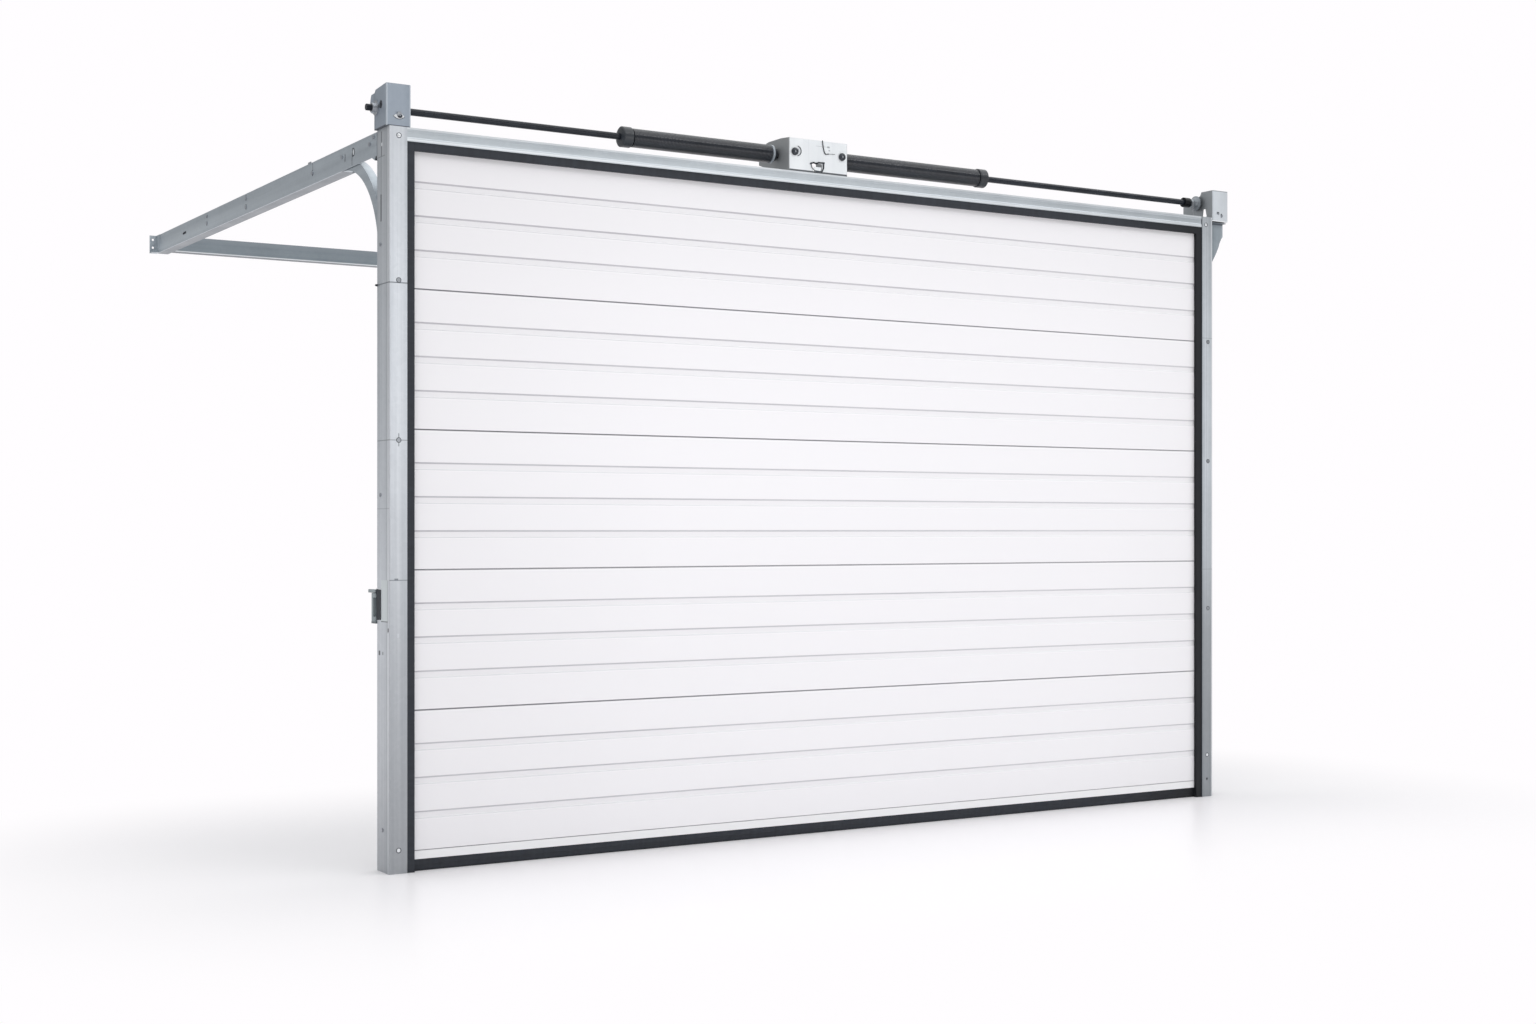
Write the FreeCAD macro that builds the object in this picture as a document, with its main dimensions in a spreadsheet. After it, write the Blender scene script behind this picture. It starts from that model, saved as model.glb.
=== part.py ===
import FreeCAD, Part
import Sketcher
import math
import os

# Sectional overhead door set, 3.96 m wide over the posts and 2.64 m high:
# five ribbed panels, posts with roller tracks, header rail, seals, torsion
# shaft with two springs, cable drums, brackets, horizontal tracks and a
# side latch.  Millimetres.  Origin: mid width, floor level, mid thickness
# of the leaf.  X runs along the width, Y goes from outside to inside, Z up.

V = FreeCAD.Vector
doc = FreeCAD.newDocument("sectional_door")

# ---------------------------------------------------------------- sheet
sheet = doc.addObject("Spreadsheet::Sheet", "P")
CELLS = [
    ("half_width", 1978.0), ("post_height", 2640.0), ("post_face", 68.0),
    ("post_depth", 120.0), ("front_y", -40.0), ("sheet_t", 2.0),
    ("lip_depth", 14.0), ("rear_return", 26.0),
    ("leaf_half", 1893.0), ("leaf_back", 20.0), ("leaf_front", -20.0),
    ("leaf_bottom", 73.0), ("section_height", 500.0), ("joint_gap", 1.0),
    ("skin_t", 0.5), ("rib_1", 139.5), ("rib_2", 261.5), ("rib_3", 382.0), ("rib_depth", 3.5),
    ("rib_width", 25.0), ("cap_t", 1.5),
    ("seal_face", 28.7), ("seal_gap", 0.4),
    ("rail_bottom", 2591.0), ("rail_flange", 100.0),
    ("seal_bottom", 2560.0),
    ("roller_radius", 19.5), ("roller_width", 12.0), ("roller_a", 1956.0),
    ("stem_radius", 5.5), ("running_fit", 0.1),
    ("channel_gap", 0.3), ("track_t", 1.5), ("track_web_a", 1972.5),
    ("track_lip_a", 1940.0), ("track_lip", 6.5),
    ("bend_y", 448.0), ("bend_z", 2180.0), ("bend_radius", 392.5),
    ("track_foot", 12.0),
    ("rail_web_top", 2636.0), ("rail_length", 3045.0),
    ("flange_a", 1924.0), ("flange_end_y", 3000.0),
    ("hinge_y", 32.0), ("knuckle_radius", 7.0), ("pin_radius", 4.0),
    ("guide_y", 337.85), ("guide_z", 2068.59), ("guide_radius", 545.87),
    ("guide_half", 20.1), ("top_roller_y", 122.0), ("top_roller_z", 2570.3),
    ("shaft_y", 56.0), ("shaft_z", 2716.0), ("shaft_radius", 12.7),
    ("shaft_left", -2028.0), ("shaft_right", 2064.0),
    ("spring_radius", 36.0), ("spring_wire", 6.0),
    ("bracket_t", 3.0), ("cable_a", 1929.5), ("cable_radius", 2.0),
    ("drum_radius", 18.0), ("drum_rim", 34.0),
    ("screw_head", 7.0), ("bolt_head", 9.0), ("wall_hole", 5.5),
    ("wall_hole_x", 1943.0), ("wall_hole_low", 81.0),
    ("wall_hole_high", 2607.0),
]
for i, (name, value) in enumerate(CELLS):
    row = str(i + 1)
    sheet.set("A" + row, name)
    sheet.set("B" + row, str(value))
    sheet.setAlias("B" + row, name)
doc.recompute()


class Q:
    """A length that carries both its value and its sheet expression."""

    def __init__(self, text, value):
        self.t = text
        self.v = float(value)

    def __add__(self, o):
        o = q(o)
        return Q("(%s + %s)" % (self.t, o.t), self.v + o.v)

    def __sub__(self, o):
        o = q(o)
        return Q("(%s - %s)" % (self.t, o.t), self.v - o.v)

    def __mul__(self, o):
        o = q(o)
        return Q("(%s * %s)" % (self.t, o.t), self.v * o.v)

    def __neg__(self):
        return Q("(0 - %s)" % self.t, -self.v)

    def __radd__(self, o):
        return q(o) + self

    def __rsub__(self, o):
        return q(o) - self

    def __rmul__(self, o):
        return q(o) * self


def q(x):
    if isinstance(x, Q):
        return x
    return Q("(%s)" % repr(round(float(x), 6)), x)


C = {}
for name, value in CELLS:
    C[name] = Q("P." + name, value)

W = C["half_width"]
FY = C["front_y"]
T = C["sheet_t"]
LH = C["leaf_half"]
SY, SZ = C["shaft_y"], C["shaft_z"]
TT = C["track_t"]
BT = C["bracket_t"]
KEEP = []          # the sub-parts, in order


def bind(obj, prop, value):
    value = q(value)
    if "P." in value.t:
        obj.setExpression(prop, value.t)


def keep(obj, label):
    obj.Label = label
    KEEP.append(obj)
    return obj


# ------------------------------------------------------------- sketches
def make_sketch(body, plane, loops, start, centre=(0, 0)):
    """Closed loops on one of the body's own planes.

    start is the world coordinate of the plane along its normal axis and
    centre the world place of the sketch origin inside the plane."""
    sk = body.newObject("Sketcher::SketchObject", "Sketch")
    ref = [o for o in body.Origin.OriginFeatures if o.Role == plane][0]
    sk.AttachmentSupport = [(ref, "")]
    sk.MapMode = "FlatFace"
    start = q(start)
    off = -start if plane == "XZ_Plane" else start
    cx, cy = q(centre[0]), q(centre[1])
    sk.AttachmentOffset = FreeCAD.Placement(V(cx.v, cy.v, off.v),
                                            FreeCAD.Rotation())
    bind(sk, "AttachmentOffset.Base.x", cx)
    bind(sk, "AttachmentOffset.Base.y", cy)
    bind(sk, "AttachmentOffset.Base.z", off)
    for loop in loops:
        base = sk.GeometryCount
        if loop[0] == "c":
            x, y, r = q(loop[1]), q(loop[2]), q(loop[3])
            sk.addGeometry(Part.Circle(V(x.v, y.v, 0), V(0, 0, 1), r.v), False)
            for kind, val in (("DistanceX", x), ("DistanceY", y)):
                sk.addConstraint(Sketcher.Constraint(kind, -1, 1, base, 3, val.v))
                bind(sk, "Constraints[%d]" % (sk.ConstraintCount - 1), val)
            sk.addConstraint(Sketcher.Constraint("Radius", base, r.v))
            bind(sk, "Constraints[%d]" % (sk.ConstraintCount - 1), r)
            continue
        pts = [(q(x), q(y)) for x, y in loop]
        n = len(pts)
        sk.addGeometry([Part.LineSegment(
            V(pts[i][0].v, pts[i][1].v, 0),
            V(pts[(i + 1) % n][0].v, pts[(i + 1) % n][1].v, 0))
            for i in range(n)], False)
        sk.addConstraint([Sketcher.Constraint(
            "Coincident", base + i, 2, base + (i + 1) % n, 1)
            for i in range(n)])
        for i in range(n):
            for kind, val in (("DistanceX", pts[i][0]), ("DistanceY", pts[i][1])):
                sk.addConstraint(Sketcher.Constraint(
                    kind, -1, 1, base + i, 1, val.v))
                bind(sk, "Constraints[%d]" % (sk.ConstraintCount - 1), val)
    return sk


def new_body(label=None):
    b = doc.addObject("PartDesign::Body", label or "Body")
    if label:
        keep(b, label)
    return b


def pad(body, plane, loops, start, length):
    sk = make_sketch(body, plane, loops, start)
    f = body.newObject("PartDesign::Pad", "Pad")
    f.Profile = sk
    length = q(length)
    f.Length = length.v
    bind(f, "Length", length)
    f.Reversed = plane == "XZ_Plane"
    return f


def pocket(body, plane, loops, start, length):
    """Cut from the plane at start towards the positive axis."""
    doc.recompute()
    before = body.Shape.Volume
    sk = make_sketch(body, plane, loops, start)
    f = body.newObject("PartDesign::Pocket", "Pocket")
    f.Profile = sk
    length = q(length)
    f.Length = length.v
    bind(f, "Length", length)
    f.Reversed = plane != "XZ_Plane"
    doc.recompute()
    if body.Shape.Volume >= before - 1e-3:
        raise RuntimeError("pocket cut nothing in " + body.Label)
    return f


def turned(label, loops, centre, axis_plane="XZ_Plane"):
    """Solid of revolution about an X-parallel line through centre (y, z)."""
    b = doc.addObject("PartDesign::Body", label or "Body")
    if label:
        keep(b, label)
    sk = make_sketch(b, "XZ_Plane", loops, centre[0], (0, centre[1]))
    f = b.newObject("PartDesign::Revolution", "Revolution")
    f.Profile = sk
    f.ReferenceAxis = (sk, ["H_Axis"])
    f.Angle = 360.0
    return b


def fillet_at(body, places, radius, tol=0.05):
    """Round the straight edges of the tip that pass the given points."""
    doc.recompute()
    tip = body.Tip
    names = []
    for i, e in enumerate(tip.Shape.Edges):
        for x, y, z in places:
            p = Part.Vertex(x, y, z)
            if e.distToShape(p)[0] < tol:
                names.append("Edge%d" % (i + 1))
                break
    if not names:
        raise RuntimeError("no edge to round in " + body.Label)
    f = body.newObject("PartDesign::Fillet", "Fillet")
    f.Base = (tip, names)
    f.Radius = radius
    doc.recompute()
    return f


def box(x0, x1, y0, y1, z0, z1):
    o = doc.addObject("Part::Box", "Box")
    for prop, a, b in (("Length", x0, x1), ("Width", y0, y1),
                       ("Height", z0, z1)):
        d = q(b) - q(a)
        setattr(o, prop, d.v)
        bind(o, prop, d)
    o.Placement = FreeCAD.Placement(V(q(x0).v, q(y0).v, q(z0).v),
                                    FreeCAD.Rotation())
    bind(o, "Placement.Base.x", x0)
    bind(o, "Placement.Base.y", y0)
    bind(o, "Placement.Base.z", z0)
    return o


ROT = {"x": FreeCAD.Rotation(V(0, 0, 1), V(1, 0, 0)),
       "y": FreeCAD.Rotation(V(0, 0, 1), V(0, 1, 0)),
       "z": FreeCAD.Rotation()}


def cyl(axis, x, y, z, r, length):
    o = doc.addObject("Part::Cylinder", "Cylinder")
    o.Radius = q(r).v
    bind(o, "Radius", r)
    o.Height = q(length).v
    bind(o, "Height", length)
    o.Placement = FreeCAD.Placement(V(q(x).v, q(y).v, q(z).v), ROT[axis])
    bind(o, "Placement.Base.x", x)
    bind(o, "Placement.Base.y", y)
    bind(o, "Placement.Base.z", z)
    return o


def hexagon(axis, x, y, z, r, length):
    o = doc.addObject("Part::Prism", "Hex")
    o.Polygon = 6
    o.Circumradius = q(r).v
    bind(o, "Circumradius", r)
    o.Height = q(length).v
    bind(o, "Height", length)
    o.Placement = FreeCAD.Placement(V(q(x).v, q(y).v, q(z).v), ROT[axis])
    bind(o, "Placement.Base.x", x)
    bind(o, "Placement.Base.y", y)
    bind(o, "Placement.Base.z", z)
    return o


def fuse(items):
    o = doc.addObject("Part::MultiFuse", "Fuse")
    o.Shapes = items
    o.Refine = True
    return o


def cut(a, b):
    o = doc.addObject("Part::Cut", "Cut")
    o.Base = a
    o.Tool = b
    return o


def mirror(src, label=None):
    o = doc.addObject("Part::Mirroring", "Mirror")
    o.Source = src
    o.Base = V(0, 0, 0)
    o.Normal = V(1, 0, 0)
    if label:
        keep(o, label)
    return o


def group(label, items):
    o = doc.addObject("Part::Compound", "Group")
    o.Links = items
    return keep(o, label)


def arc_pts(cy, cz, r, a0, a1, n):
    """Points on an arc in a Y-Z sketch, r may be a sheet length."""
    out = []
    for i in range(n + 1):
        a = math.radians(a0 + (a1 - a0) * i / n)
        out.append((q(cy) + q(r) * math.cos(a), q(cz) + q(r) * math.sin(a)))
    return out


# ------------------------------------------------------------ the posts
def post_profile(side):
    """Folded C profile; side is -1 for the left post."""
    s = float(side)
    a_in, a_out = W - C["post_face"], W
    yb = FY + C["post_depth"]
    pts = [(a_in, FY), (a_out, FY), (a_out, yb),
           (a_out - C["rear_return"], yb), (a_out - C["rear_return"], yb - T),
           (a_out - T, yb - T), (a_out - T, FY + T), (a_in + T, FY + T),
           (a_in + T, FY + C["lip_depth"]), (a_in, FY + C["lip_depth"])]
    return [(x * s, y) for x, y in pts]


# flush screws in the posts' front faces: x, z
FLUSH = [(-1942, 2097), (-1942, 1532), (1949, 2071), (1949, 1528),
         (1949, 858)]


def make_post(label, side):
    s = float(side)
    b = new_body(label)
    pad(b, "XY_Plane", [post_profile(side)], 0, C["post_height"])
    # the rear return stops below the bend of the track
    x0, x1 = (W - C["rear_return"] - 1) * s, (W - T) * s
    y0, y1 = FY + C["post_depth"] - T - 0.5, FY + C["post_depth"] + 0.5
    pocket(b, "XY_Plane", [[(x0, y0), (x1, y0), (x1, y1), (x0, y1)]],
           C["bend_z"] - 13, 500)
    # wall fixing holes through the front face
    hx = C["wall_hole_x"] * s
    pocket(b, "XZ_Plane",
           [("c", hx, C["wall_hole_low"], C["wall_hole"]),
            ("c", hx, C["wall_hole_high"], C["wall_hole"])], FY - 1, T + 2)
    mine = [(x, z) for x, z in FLUSH if x * side > 0]
    pocket(b, "XZ_Plane", [("c", x, z, C["screw_head"] + 0.3)
                           for x, z in mine], FY - 1, 2.2)
    pocket(b, "XZ_Plane", [("c", x, z, 3.6) for x, z in mine], FY - 1, T + 2)
    if side < 0:
        # strike slot of the side latch
        x0 = -W - 1
        pocket(b, "YZ_Plane", [[(50, 896), (70, 896), (70, 990), (50, 990)]],
               x0, T + 2)
    fillet_at(b, [(W.v * s, FY.v, 300.0), (W.v * s, FY.v + 120, 300.0)], 5.0)
    fillet_at(b, [((W.v - 2) * s, FY.v + 2, 300.0)], 3.0)
    return b


make_post("left_post", -1)
make_post("right_post", 1)

# --------------------------------------------------- header rail, seals
RB, PH = C["rail_bottom"], C["post_height"]
rail = new_body("header_rail")
xin = W - C["post_face"]
pad(rail, "YZ_Plane", [[
    (FY, RB), (FY, RB + 12), (FY + 1.5, RB + 15), (FY + 1.5, PH - 14),
    (FY, PH - 11), (FY, PH), (FY + C["rail_flange"], PH),
    (FY + C["rail_flange"], PH - 14), (FY + C["rail_flange"] - T, PH - 14),
    (FY + C["rail_flange"] - T, PH - T), (FY + T, PH - T),
    (FY + T, PH - 10), (FY + T + 1.5, PH - 13), (FY + T + 1.5, RB + 14),
    (FY + T, RB + 11), (FY + T, RB + T), (FY + 14, RB + T), (FY + 14, RB)]],
    -xin, xin * 2)

sg = C["seal_gap"]
seal_in = xin - C["seal_face"]
LF = C["leaf_front"]


def seal_profile(a_out, a_in):
    """Carrier strip and folded lip; a_in is the visible inner edge."""
    return [(a_out, FY + 2.2), (a_in, FY + 3.2), (a_in, FY + 6.2),
            (a_in + 3.5, FY + 7), (a_in + 1, LF - sg), (a_in + 4, LF - sg),
            (a_in + 8, FY + 7.4), (a_in + 15, FY + 7.4),
            (a_in + 17, FY + 13.4), (a_out, FY + 13.4)]


sb = new_body()
pad(sb, "XY_Plane", [[(-x, y) for x, y in seal_profile(xin - 0.2, seal_in)]],
    0, RB)
group("side_seals", [sb, mirror(sb)])

ts = new_body("top_seal")
pad(ts, "YZ_Plane", [[(y, x) for x, y in
                      seal_profile(RB - 0.2, C["seal_bottom"])]],
    -seal_in, seal_in * 2)

# ----------------------------------------------------------- the tracks
BY, BZ, BR = C["bend_y"], C["bend_z"], C["bend_radius"]
RR = C["roller_radius"]
gap = C["channel_gap"]
r_in = BR - RR - gap               # inner face on the concave side
r_out = BR + RR + gap              # inner face on the convex side
TW, TL, LIP = C["track_web_a"], C["track_lip_a"], C["track_lip"]


def channel(dist, along):
    """C section: dist is the place across the roller, along is |x|."""
    i0, i1 = dist
    return [(along(TW), i0 - TT), (along(TL), i0 - TT),
            (along(TL), i0 + LIP), (along(TL + TT), i0 + LIP),
            (along(TL + TT), i0), (along(TW - TT), i0), (along(TW - TT), i1),
            (along(TL + TT), i1), (along(TL + TT), i1 - LIP),
            (along(TL), i1 - LIP), (along(TL), i1 + TT), (along(TW), i1 + TT)]


vt = new_body()
y_f, y_r = BY - r_out, BY - r_in
pad(vt, "XY_Plane", [[(x, y) for x, y in
                      channel((y_f, y_r), lambda a: -a)]],
    C["track_foot"], BZ - C["track_foot"] - 0.5)
group("vertical_tracks", [vt, mirror(vt)])

ct = new_body()
sk = make_sketch(ct, "XY_Plane", [[(x, y) for x, y in
                 channel((y_f - BY, y_r - BY), lambda a: -a)]], BZ, (0, BY))
rv = ct.newObject("PartDesign::Revolution", "Revolution")
rv.Profile = sk
rv.ReferenceAxis = (sk, ["H_Axis"])
rv.Angle = 90.0
doc.recompute()
if ct.Shape.BoundBox.ZMax < BZ.v + 50:
    rv.Reversed = True
    doc.recompute()
group("curved_tracks", [ct, mirror(ct)])

# horizontal track: tall outer web, lower and upper roller channel
ht = new_body("left_horizontal_track")
z_lo = BZ + r_in                   # rolling face of the lower channel
z_mid = BZ + r_out                 # underside of the middle flange
WT = C["rail_web_top"]
FA = C["flange_a"]
web_t = 1.7
pad(ht, "XZ_Plane", [[
    (-W, z_lo - TT), (-FA, z_lo - TT), (-FA, z_lo + 7), (-(FA + TT), z_lo + 7),
    (-(FA + TT), z_lo), (-(W - web_t), z_lo), (-(W - web_t), WT), (-W, WT)]],
    BY + 0.5, C["rail_length"] - BY - 0.5)
pad(ht, "XZ_Plane", [[(-W, z_lo - TT), (-(W - web_t), z_lo - TT),
                      (-(W - web_t), WT), (-W, WT)]],
    FY + C["post_depth"] + 0.5, BY - FY - C["post_depth"])
mid_a = 1934.0
pad(ht, "XZ_Plane", [[(-(W - web_t + 0.2), z_mid), (-mid_a, z_mid),
                      (-mid_a, z_mid + TT), (-(W - web_t + 0.2), z_mid + TT)]],
    BY + 14, C["flange_end_y"] - BY - 14)
pad(ht, "XZ_Plane", [[(-(W - web_t + 0.2), WT - TT - 0.2), (-mid_a, WT - TT - 0.2),
                      (-mid_a, WT - 9), (-(mid_a - TT), WT - 9),
                      (-(mid_a - TT), WT), (-(W - web_t + 0.2), WT)]],
    BY + 14, C["flange_end_y"] - BY - 14)
# hanger slot in the web
for yy, zz, ln in ((2560, 2590, 26),):
    pocket(ht, "YZ_Plane", [[
        (yy - ln, zz - 6), (yy + ln, zz - 6), (yy + ln + 4, zz - 2),
        (yy + ln + 4, zz + 2), (yy + ln, zz + 6), (yy - ln, zz + 6),
        (yy - ln - 4, zz + 2), (yy - ln - 4, zz - 2)]], -W - 1, 4)
mirror(ht, "right_horizontal_track")

# curved guide that leads the top roller into the upper channel
GY, GZ, GR, GH = (C["guide_y"], C["guide_z"], C["guide_radius"],
                  C["guide_half"])


def band(r0, r1, a0, a1, n):
    return (arc_pts(GY, GZ, r1, a0, a1, n) + arc_pts(GY, GZ, r0, a1, a0, n))


def guide_angle(y):
    return math.degrees(math.acos((y - GY.v) / GR.v))


gb = new_body()
ga0, ga1 = guide_angle(96.0), 90.0
pad(gb, "YZ_Plane", [band(GR - GH - TT, GR + GH + TT, ga0, ga1, 10)],
    -(W - web_t - 0.1), TT)
pad(gb, "YZ_Plane", [band(GR - GH - TT, GR - GH, ga0, ga1, 10)],
    -(W - web_t - 1), 24)
pad(gb, "YZ_Plane", [band(GR + GH, GR + GH + TT, ga0, ga1, 10)],
    -(W - web_t - 1), 24)
ge = 416.0                         # straight end, up to the upper channel
for z0, z1, x0, ln in ((GZ + GR - GH - TT, GZ + GR + GH + TT,
                        -(W - web_t - 0.1), TT),
                       (GZ + GR - GH - TT, GZ + GR - GH,
                        -(W - web_t - 1), 24),
                       (GZ + GR + GH, GZ + GR + GH + TT,
                        -(W - web_t - 1), 24)):
    pad(gb, "YZ_Plane", [[(GY - 2, z0), (ge, z0), (ge, z1), (GY - 2, z1)]],
        x0, ln)
group("top_roller_guides", [gb, mirror(gb)])

# rear bar between the two tracks
rb = new_body("rear_cross_bar")
ry = C["rail_length"] - 40
pad(rb, "YZ_Plane", [[
    (ry, 2560), (ry, WT), (ry + 40, WT), (ry + 40, WT - 14),
    (ry + 38, WT - 14), (ry + 38, WT - 2), (ry + 2, WT - 2), (ry + 2, 2562),
    (ry + 38, 2562), (ry + 38, 2574), (ry + 40, 2574), (ry + 40, 2560)]],
    -(W - 4), (W - 4) * 2)

# ceiling hanger angle on the end of each track
RL = C["rail_length"]
eb = new_body()
pad(eb, "XY_Plane", [[(-(W + 0.1), RL - 60), (-(W + 3), RL - 60),
                      (-(W + 3), RL - 3), (-(W + 34), RL - 3),
                      (-(W + 34), RL), (-(W + 0.1), RL)]], 2552, 84)
pad(eb, "XY_Plane", [[(-(W + 0.1), RL - 60), (-(W + 34), RL - 45),
                      (-(W + 34), RL), (-(W + 0.1), RL)]], 2549.5, 2.5)
pocket(eb, "XZ_Plane", [("c", -(W + 19), 2578, 5.5), ("c", -(W + 19), 2616, 5.5)],
       RL - 4, 6)
group("track_end_brackets", [eb, mirror(eb)])

# rubber stops at the end of the lower channel
bf = turned(None, [[(0, 0), (34, 0), (34, 7), (30, 12), (6, 12), (0, 10)]],
            (0, 0))
bf.Placement = FreeCAD.Placement(V(-1962, 2970, 2573.6),
                                 FreeCAD.Rotation(V(0, 0, 1), 90))
group("track_buffers", [bf, mirror(bf)])

# -------------------------------------------------------- the brackets
sr = C["shaft_radius"]


def side_plate(body, outline, x0, holes):
    f = pad(body, "YZ_Plane", [outline], x0, BT)
    if holes:
        pocket(body, "YZ_Plane", holes, x0 - 1, BT + 2)
    return f


lb = new_body("left_end_bracket")
xo, xi = W + 10, W - 81
zb, zt = PH, PH + 150
disc = arc_pts(62, 2736, 58, 38, -28, 9)
outer = [(FY, zb), (FY, zt), (66, 2783), (76, 2773)] + [
    (y, z) for y, z in disc if y.v > 78] + [(78, 2698), (78, zb)]
bearing_hole = ("c", SY, SZ, 19)
pad(lb, "XY_Plane", [[(-xo, FY), (-xi, FY), (-xi, FY + BT), (-xo, FY + BT)]],
    zb, zt - zb)
pad(lb, "YZ_Plane", [outer], -xo, BT)
pad(lb, "YZ_Plane", [[(FY, zb), (FY, zt), (62, 2783), (72, 2773), (78, 2750),
                      (78, zb)]], -(xi + BT), BT)
pad(lb, "XY_Plane", [[(-xo, FY), (-xi, FY), (-xi, 78), (-xo, 78)]], zb, BT)
pocket(lb, "YZ_Plane", [bearing_hole, ("c", 15, 2722, 15)], -xo - 1, BT + 2)
pocket(lb, "YZ_Plane", [bearing_hole], -(xi + BT) - 1, BT + 2)
pocket(lb, "XY_Plane", [[(-(C["cable_a"] + 8), 20), (-(C["cable_a"] - 8), 20),
                         (-(C["cable_a"] - 8), 52), (-(C["cable_a"] + 8), 52)]],
       zb - 1, BT + 2)
fillet_at(lb, [(-xo.v, FY.v, 2700), (-xi.v, FY.v, 2700)], 2.5)

rbk = new_body("right_end_bracket")
xa, xb = W + 0.3, W + 94
pad(rbk, "XY_Plane", [[(xa, FY), (xb, FY), (xb, FY + BT), (xa, FY + BT)]],
    2625, 141)
pad(rbk, "YZ_Plane", [[(FY, 2625), (FY, 2766), (32, 2766), (41, 2749),
                       (70, 2744), (150, 2722), (150, 2672), (76, 2642),
                       (30, 2625)]], xa, BT)
pad(rbk, "YZ_Plane", [[(FY, 2625), (FY, 2766), (32, 2762), (74, 2738),
                       (80, 2716), (70, 2690), (44, 2625)]], xb - BT, BT)
pad(rbk, "XY_Plane", [[(xa, FY), (xb, FY), (xb, 30), (xa, 30)]], 2625, BT)
pocket(rbk, "YZ_Plane", [bearing_hole,
                         [(-2, 2650), (26, 2650), (20, 2686), (6, 2686)]],
       xa - 1, BT + 2)
fillet_at(rbk, [(xa.v, FY.v, 2700), (xb.v, FY.v, 2700)], 2.5)

gs = new_body("right_bracket_gusset")
curve = [(xb - 10, 2560), (xb - 19, 2550), (xb - 29, 2530), (xb - 36, 2510),
         (xb - 46, 2490), (xb - 60, 2466), (xb - 78, 2438)]
pad(gs, "XZ_Plane", [[(xa, 2428), (xa, 2617), (xb - 10, 2617)] + curve],
    -18, BT)
pad(gs, "YZ_Plane", [[(-38, 2460), (-38, 2600), (-18, 2617), (40, 2617),
                      (40, 2590), (0, 2428), (-18, 2428)]], xa, BT)
pad(gs, "XY_Plane", [[(xa, -38), (xb - 10, -38), (xb - 10, 30), (xa, 30)]],
    2617, BT)

cb = new_body("centre_bracket")
c0, c1 = q(-311.0), q(-33.0)
cz0, cz1 = PH, PH + 131
pad(cb, "XY_Plane", [[(c0, FY), (c1, FY), (c1, FY + BT), (c0, FY + BT)]],
    cz0, cz1 - cz0)
cplate = [(FY, cz0), (FY, cz1), (20, cz1 + 5), (110, cz1 + 5),
          (150, cz1 - 1), (174, cz1 - 14), (186, cz1 - 36), (188, cz1 - 60),
          (188, 2693), (60, 2646), (40, cz0)]
for x in (c0, c1 - BT):
    pad(cb, "YZ_Plane", [cplate], x, BT)
pad(cb, "XY_Plane", [[(c0, FY), (c1, FY), (c1, 58), (c0, 58)]], cz0, BT)
pocket(cb, "YZ_Plane", [bearing_hole], c0 - 1, BT + 2)
pocket(cb, "YZ_Plane", [bearing_hole], c1 - BT - 1, BT + 2)
# pressed lug window in the web
pocket(cb, "XZ_Plane", [[(-196, 2646), (-158, 2646), (-154, 2672),
                         (-160, 2678), (-200, 2678), (-204, 2674)]],
       FY - 1, BT + 2)
lug = pad(cb, "XZ_Plane", [[(-192, 2643), (-164, 2643), (-160, 2664),
                            (-194, 2664)]], FY - 2, 2.2 + 1)
fillet_at(cb, [(c0.v, FY.v, 2700), (c1.v, FY.v, 2700)], 2.5)


# bearings: flanged ring with a running fit on the shaft
def bearing(x, flange_at):
    rf = sr + C["running_fit"] * 0.5
    ro = q(19) - 0.05
    if flange_at > 0:
        loop = [(x, rf), (x + BT + 5, rf), (x + BT + 5, 24),
                (x + BT + 0.1, 24), (x + BT + 0.1, ro), (x, ro)]
    else:
        loop = [(x + BT, rf), (x - 5, rf), (x - 5, 24), (x - 0.1, 24),
                (x - 0.1, ro), (x + BT, ro)]
    return turned(None, [loop], (SY, SZ))


# long outboard collar on the left plate
rf = sr + C["running_fit"] * 0.5
left_brg = turned(None, [[(-xo + BT, rf), (-xo - 20, rf), (-xo - 20, 17),
                          (-xo - 6, 18.5), (-xo - 5, 27), (-xo - 0.1, 27),
                          (-xo - 0.1, q(18.95)), (-xo + BT, q(18.95))]],
                  (SY, SZ))
group("shaft_bearings", [left_brg, bearing(-(xi + BT), 1),
                         bearing(c0, 1), bearing(c1 - BT, -1),
                         bearing(xa, 1)])

# ------------------------------------------------- shaft, drums, springs
shaft = turned("torsion_shaft", [[
    (C["shaft_left"], 0), (C["shaft_left"], sr - 1.9),
    (C["shaft_left"] + 1.2, sr - 0.7), (C["shaft_left"] + 19, sr - 0.7),
    (C["shaft_left"] + 19, sr), (C["shaft_right"] - 1.2, sr),
    (C["shaft_right"], sr - 1.2), (C["shaft_right"], 0)]], (SY, SZ))

DR, RIM = C["drum_radius"], C["drum_rim"]


def drum_loop(x0, sgn, hub):
    """Hub, rope grooves, rim at the far end; the grooves start at x0."""
    s = float(sgn)
    X = lambda d: q(x0) + (d - 23.5) * s
    return [(X(-hub), sr), (X(-hub), 21), (X(2 - hub), 22), (X(14), 22), (X(16), 20),
            (X(20), DR + 2), (X(22), DR), (X(25), DR), (X(27), DR + 1.5),
            (X(29), DR), (X(32), DR), (X(34), DR + 1.5), (X(36), DR),
            (X(39), DR), (X(42), DR + 3), (X(50), 26), (X(56), RIM),
            (X(60), RIM), (X(60), 24), (X(64), 22), (X(64), sr)]


turned("left_cable_drum", [drum_loop(-C["cable_a"], -1, 0.0)], (SY, SZ))
turned("right_cable_drum", [drum_loop(C["cable_a"], 1, 20.0)], (SY, SZ))

SR, SWR = C["spring_radius"], C["spring_wire"]
turned("left_torsion_spring", [[(-970, SR - SWR), (-345, SR - SWR),
                                (-345, SR), (-970, SR)]], (SY, SZ))
turned("right_torsion_spring", [[(1, SR - SWR), (692, SR - SWR),
                                 (692, SR), (1, SR)]], (SY, SZ))


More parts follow.
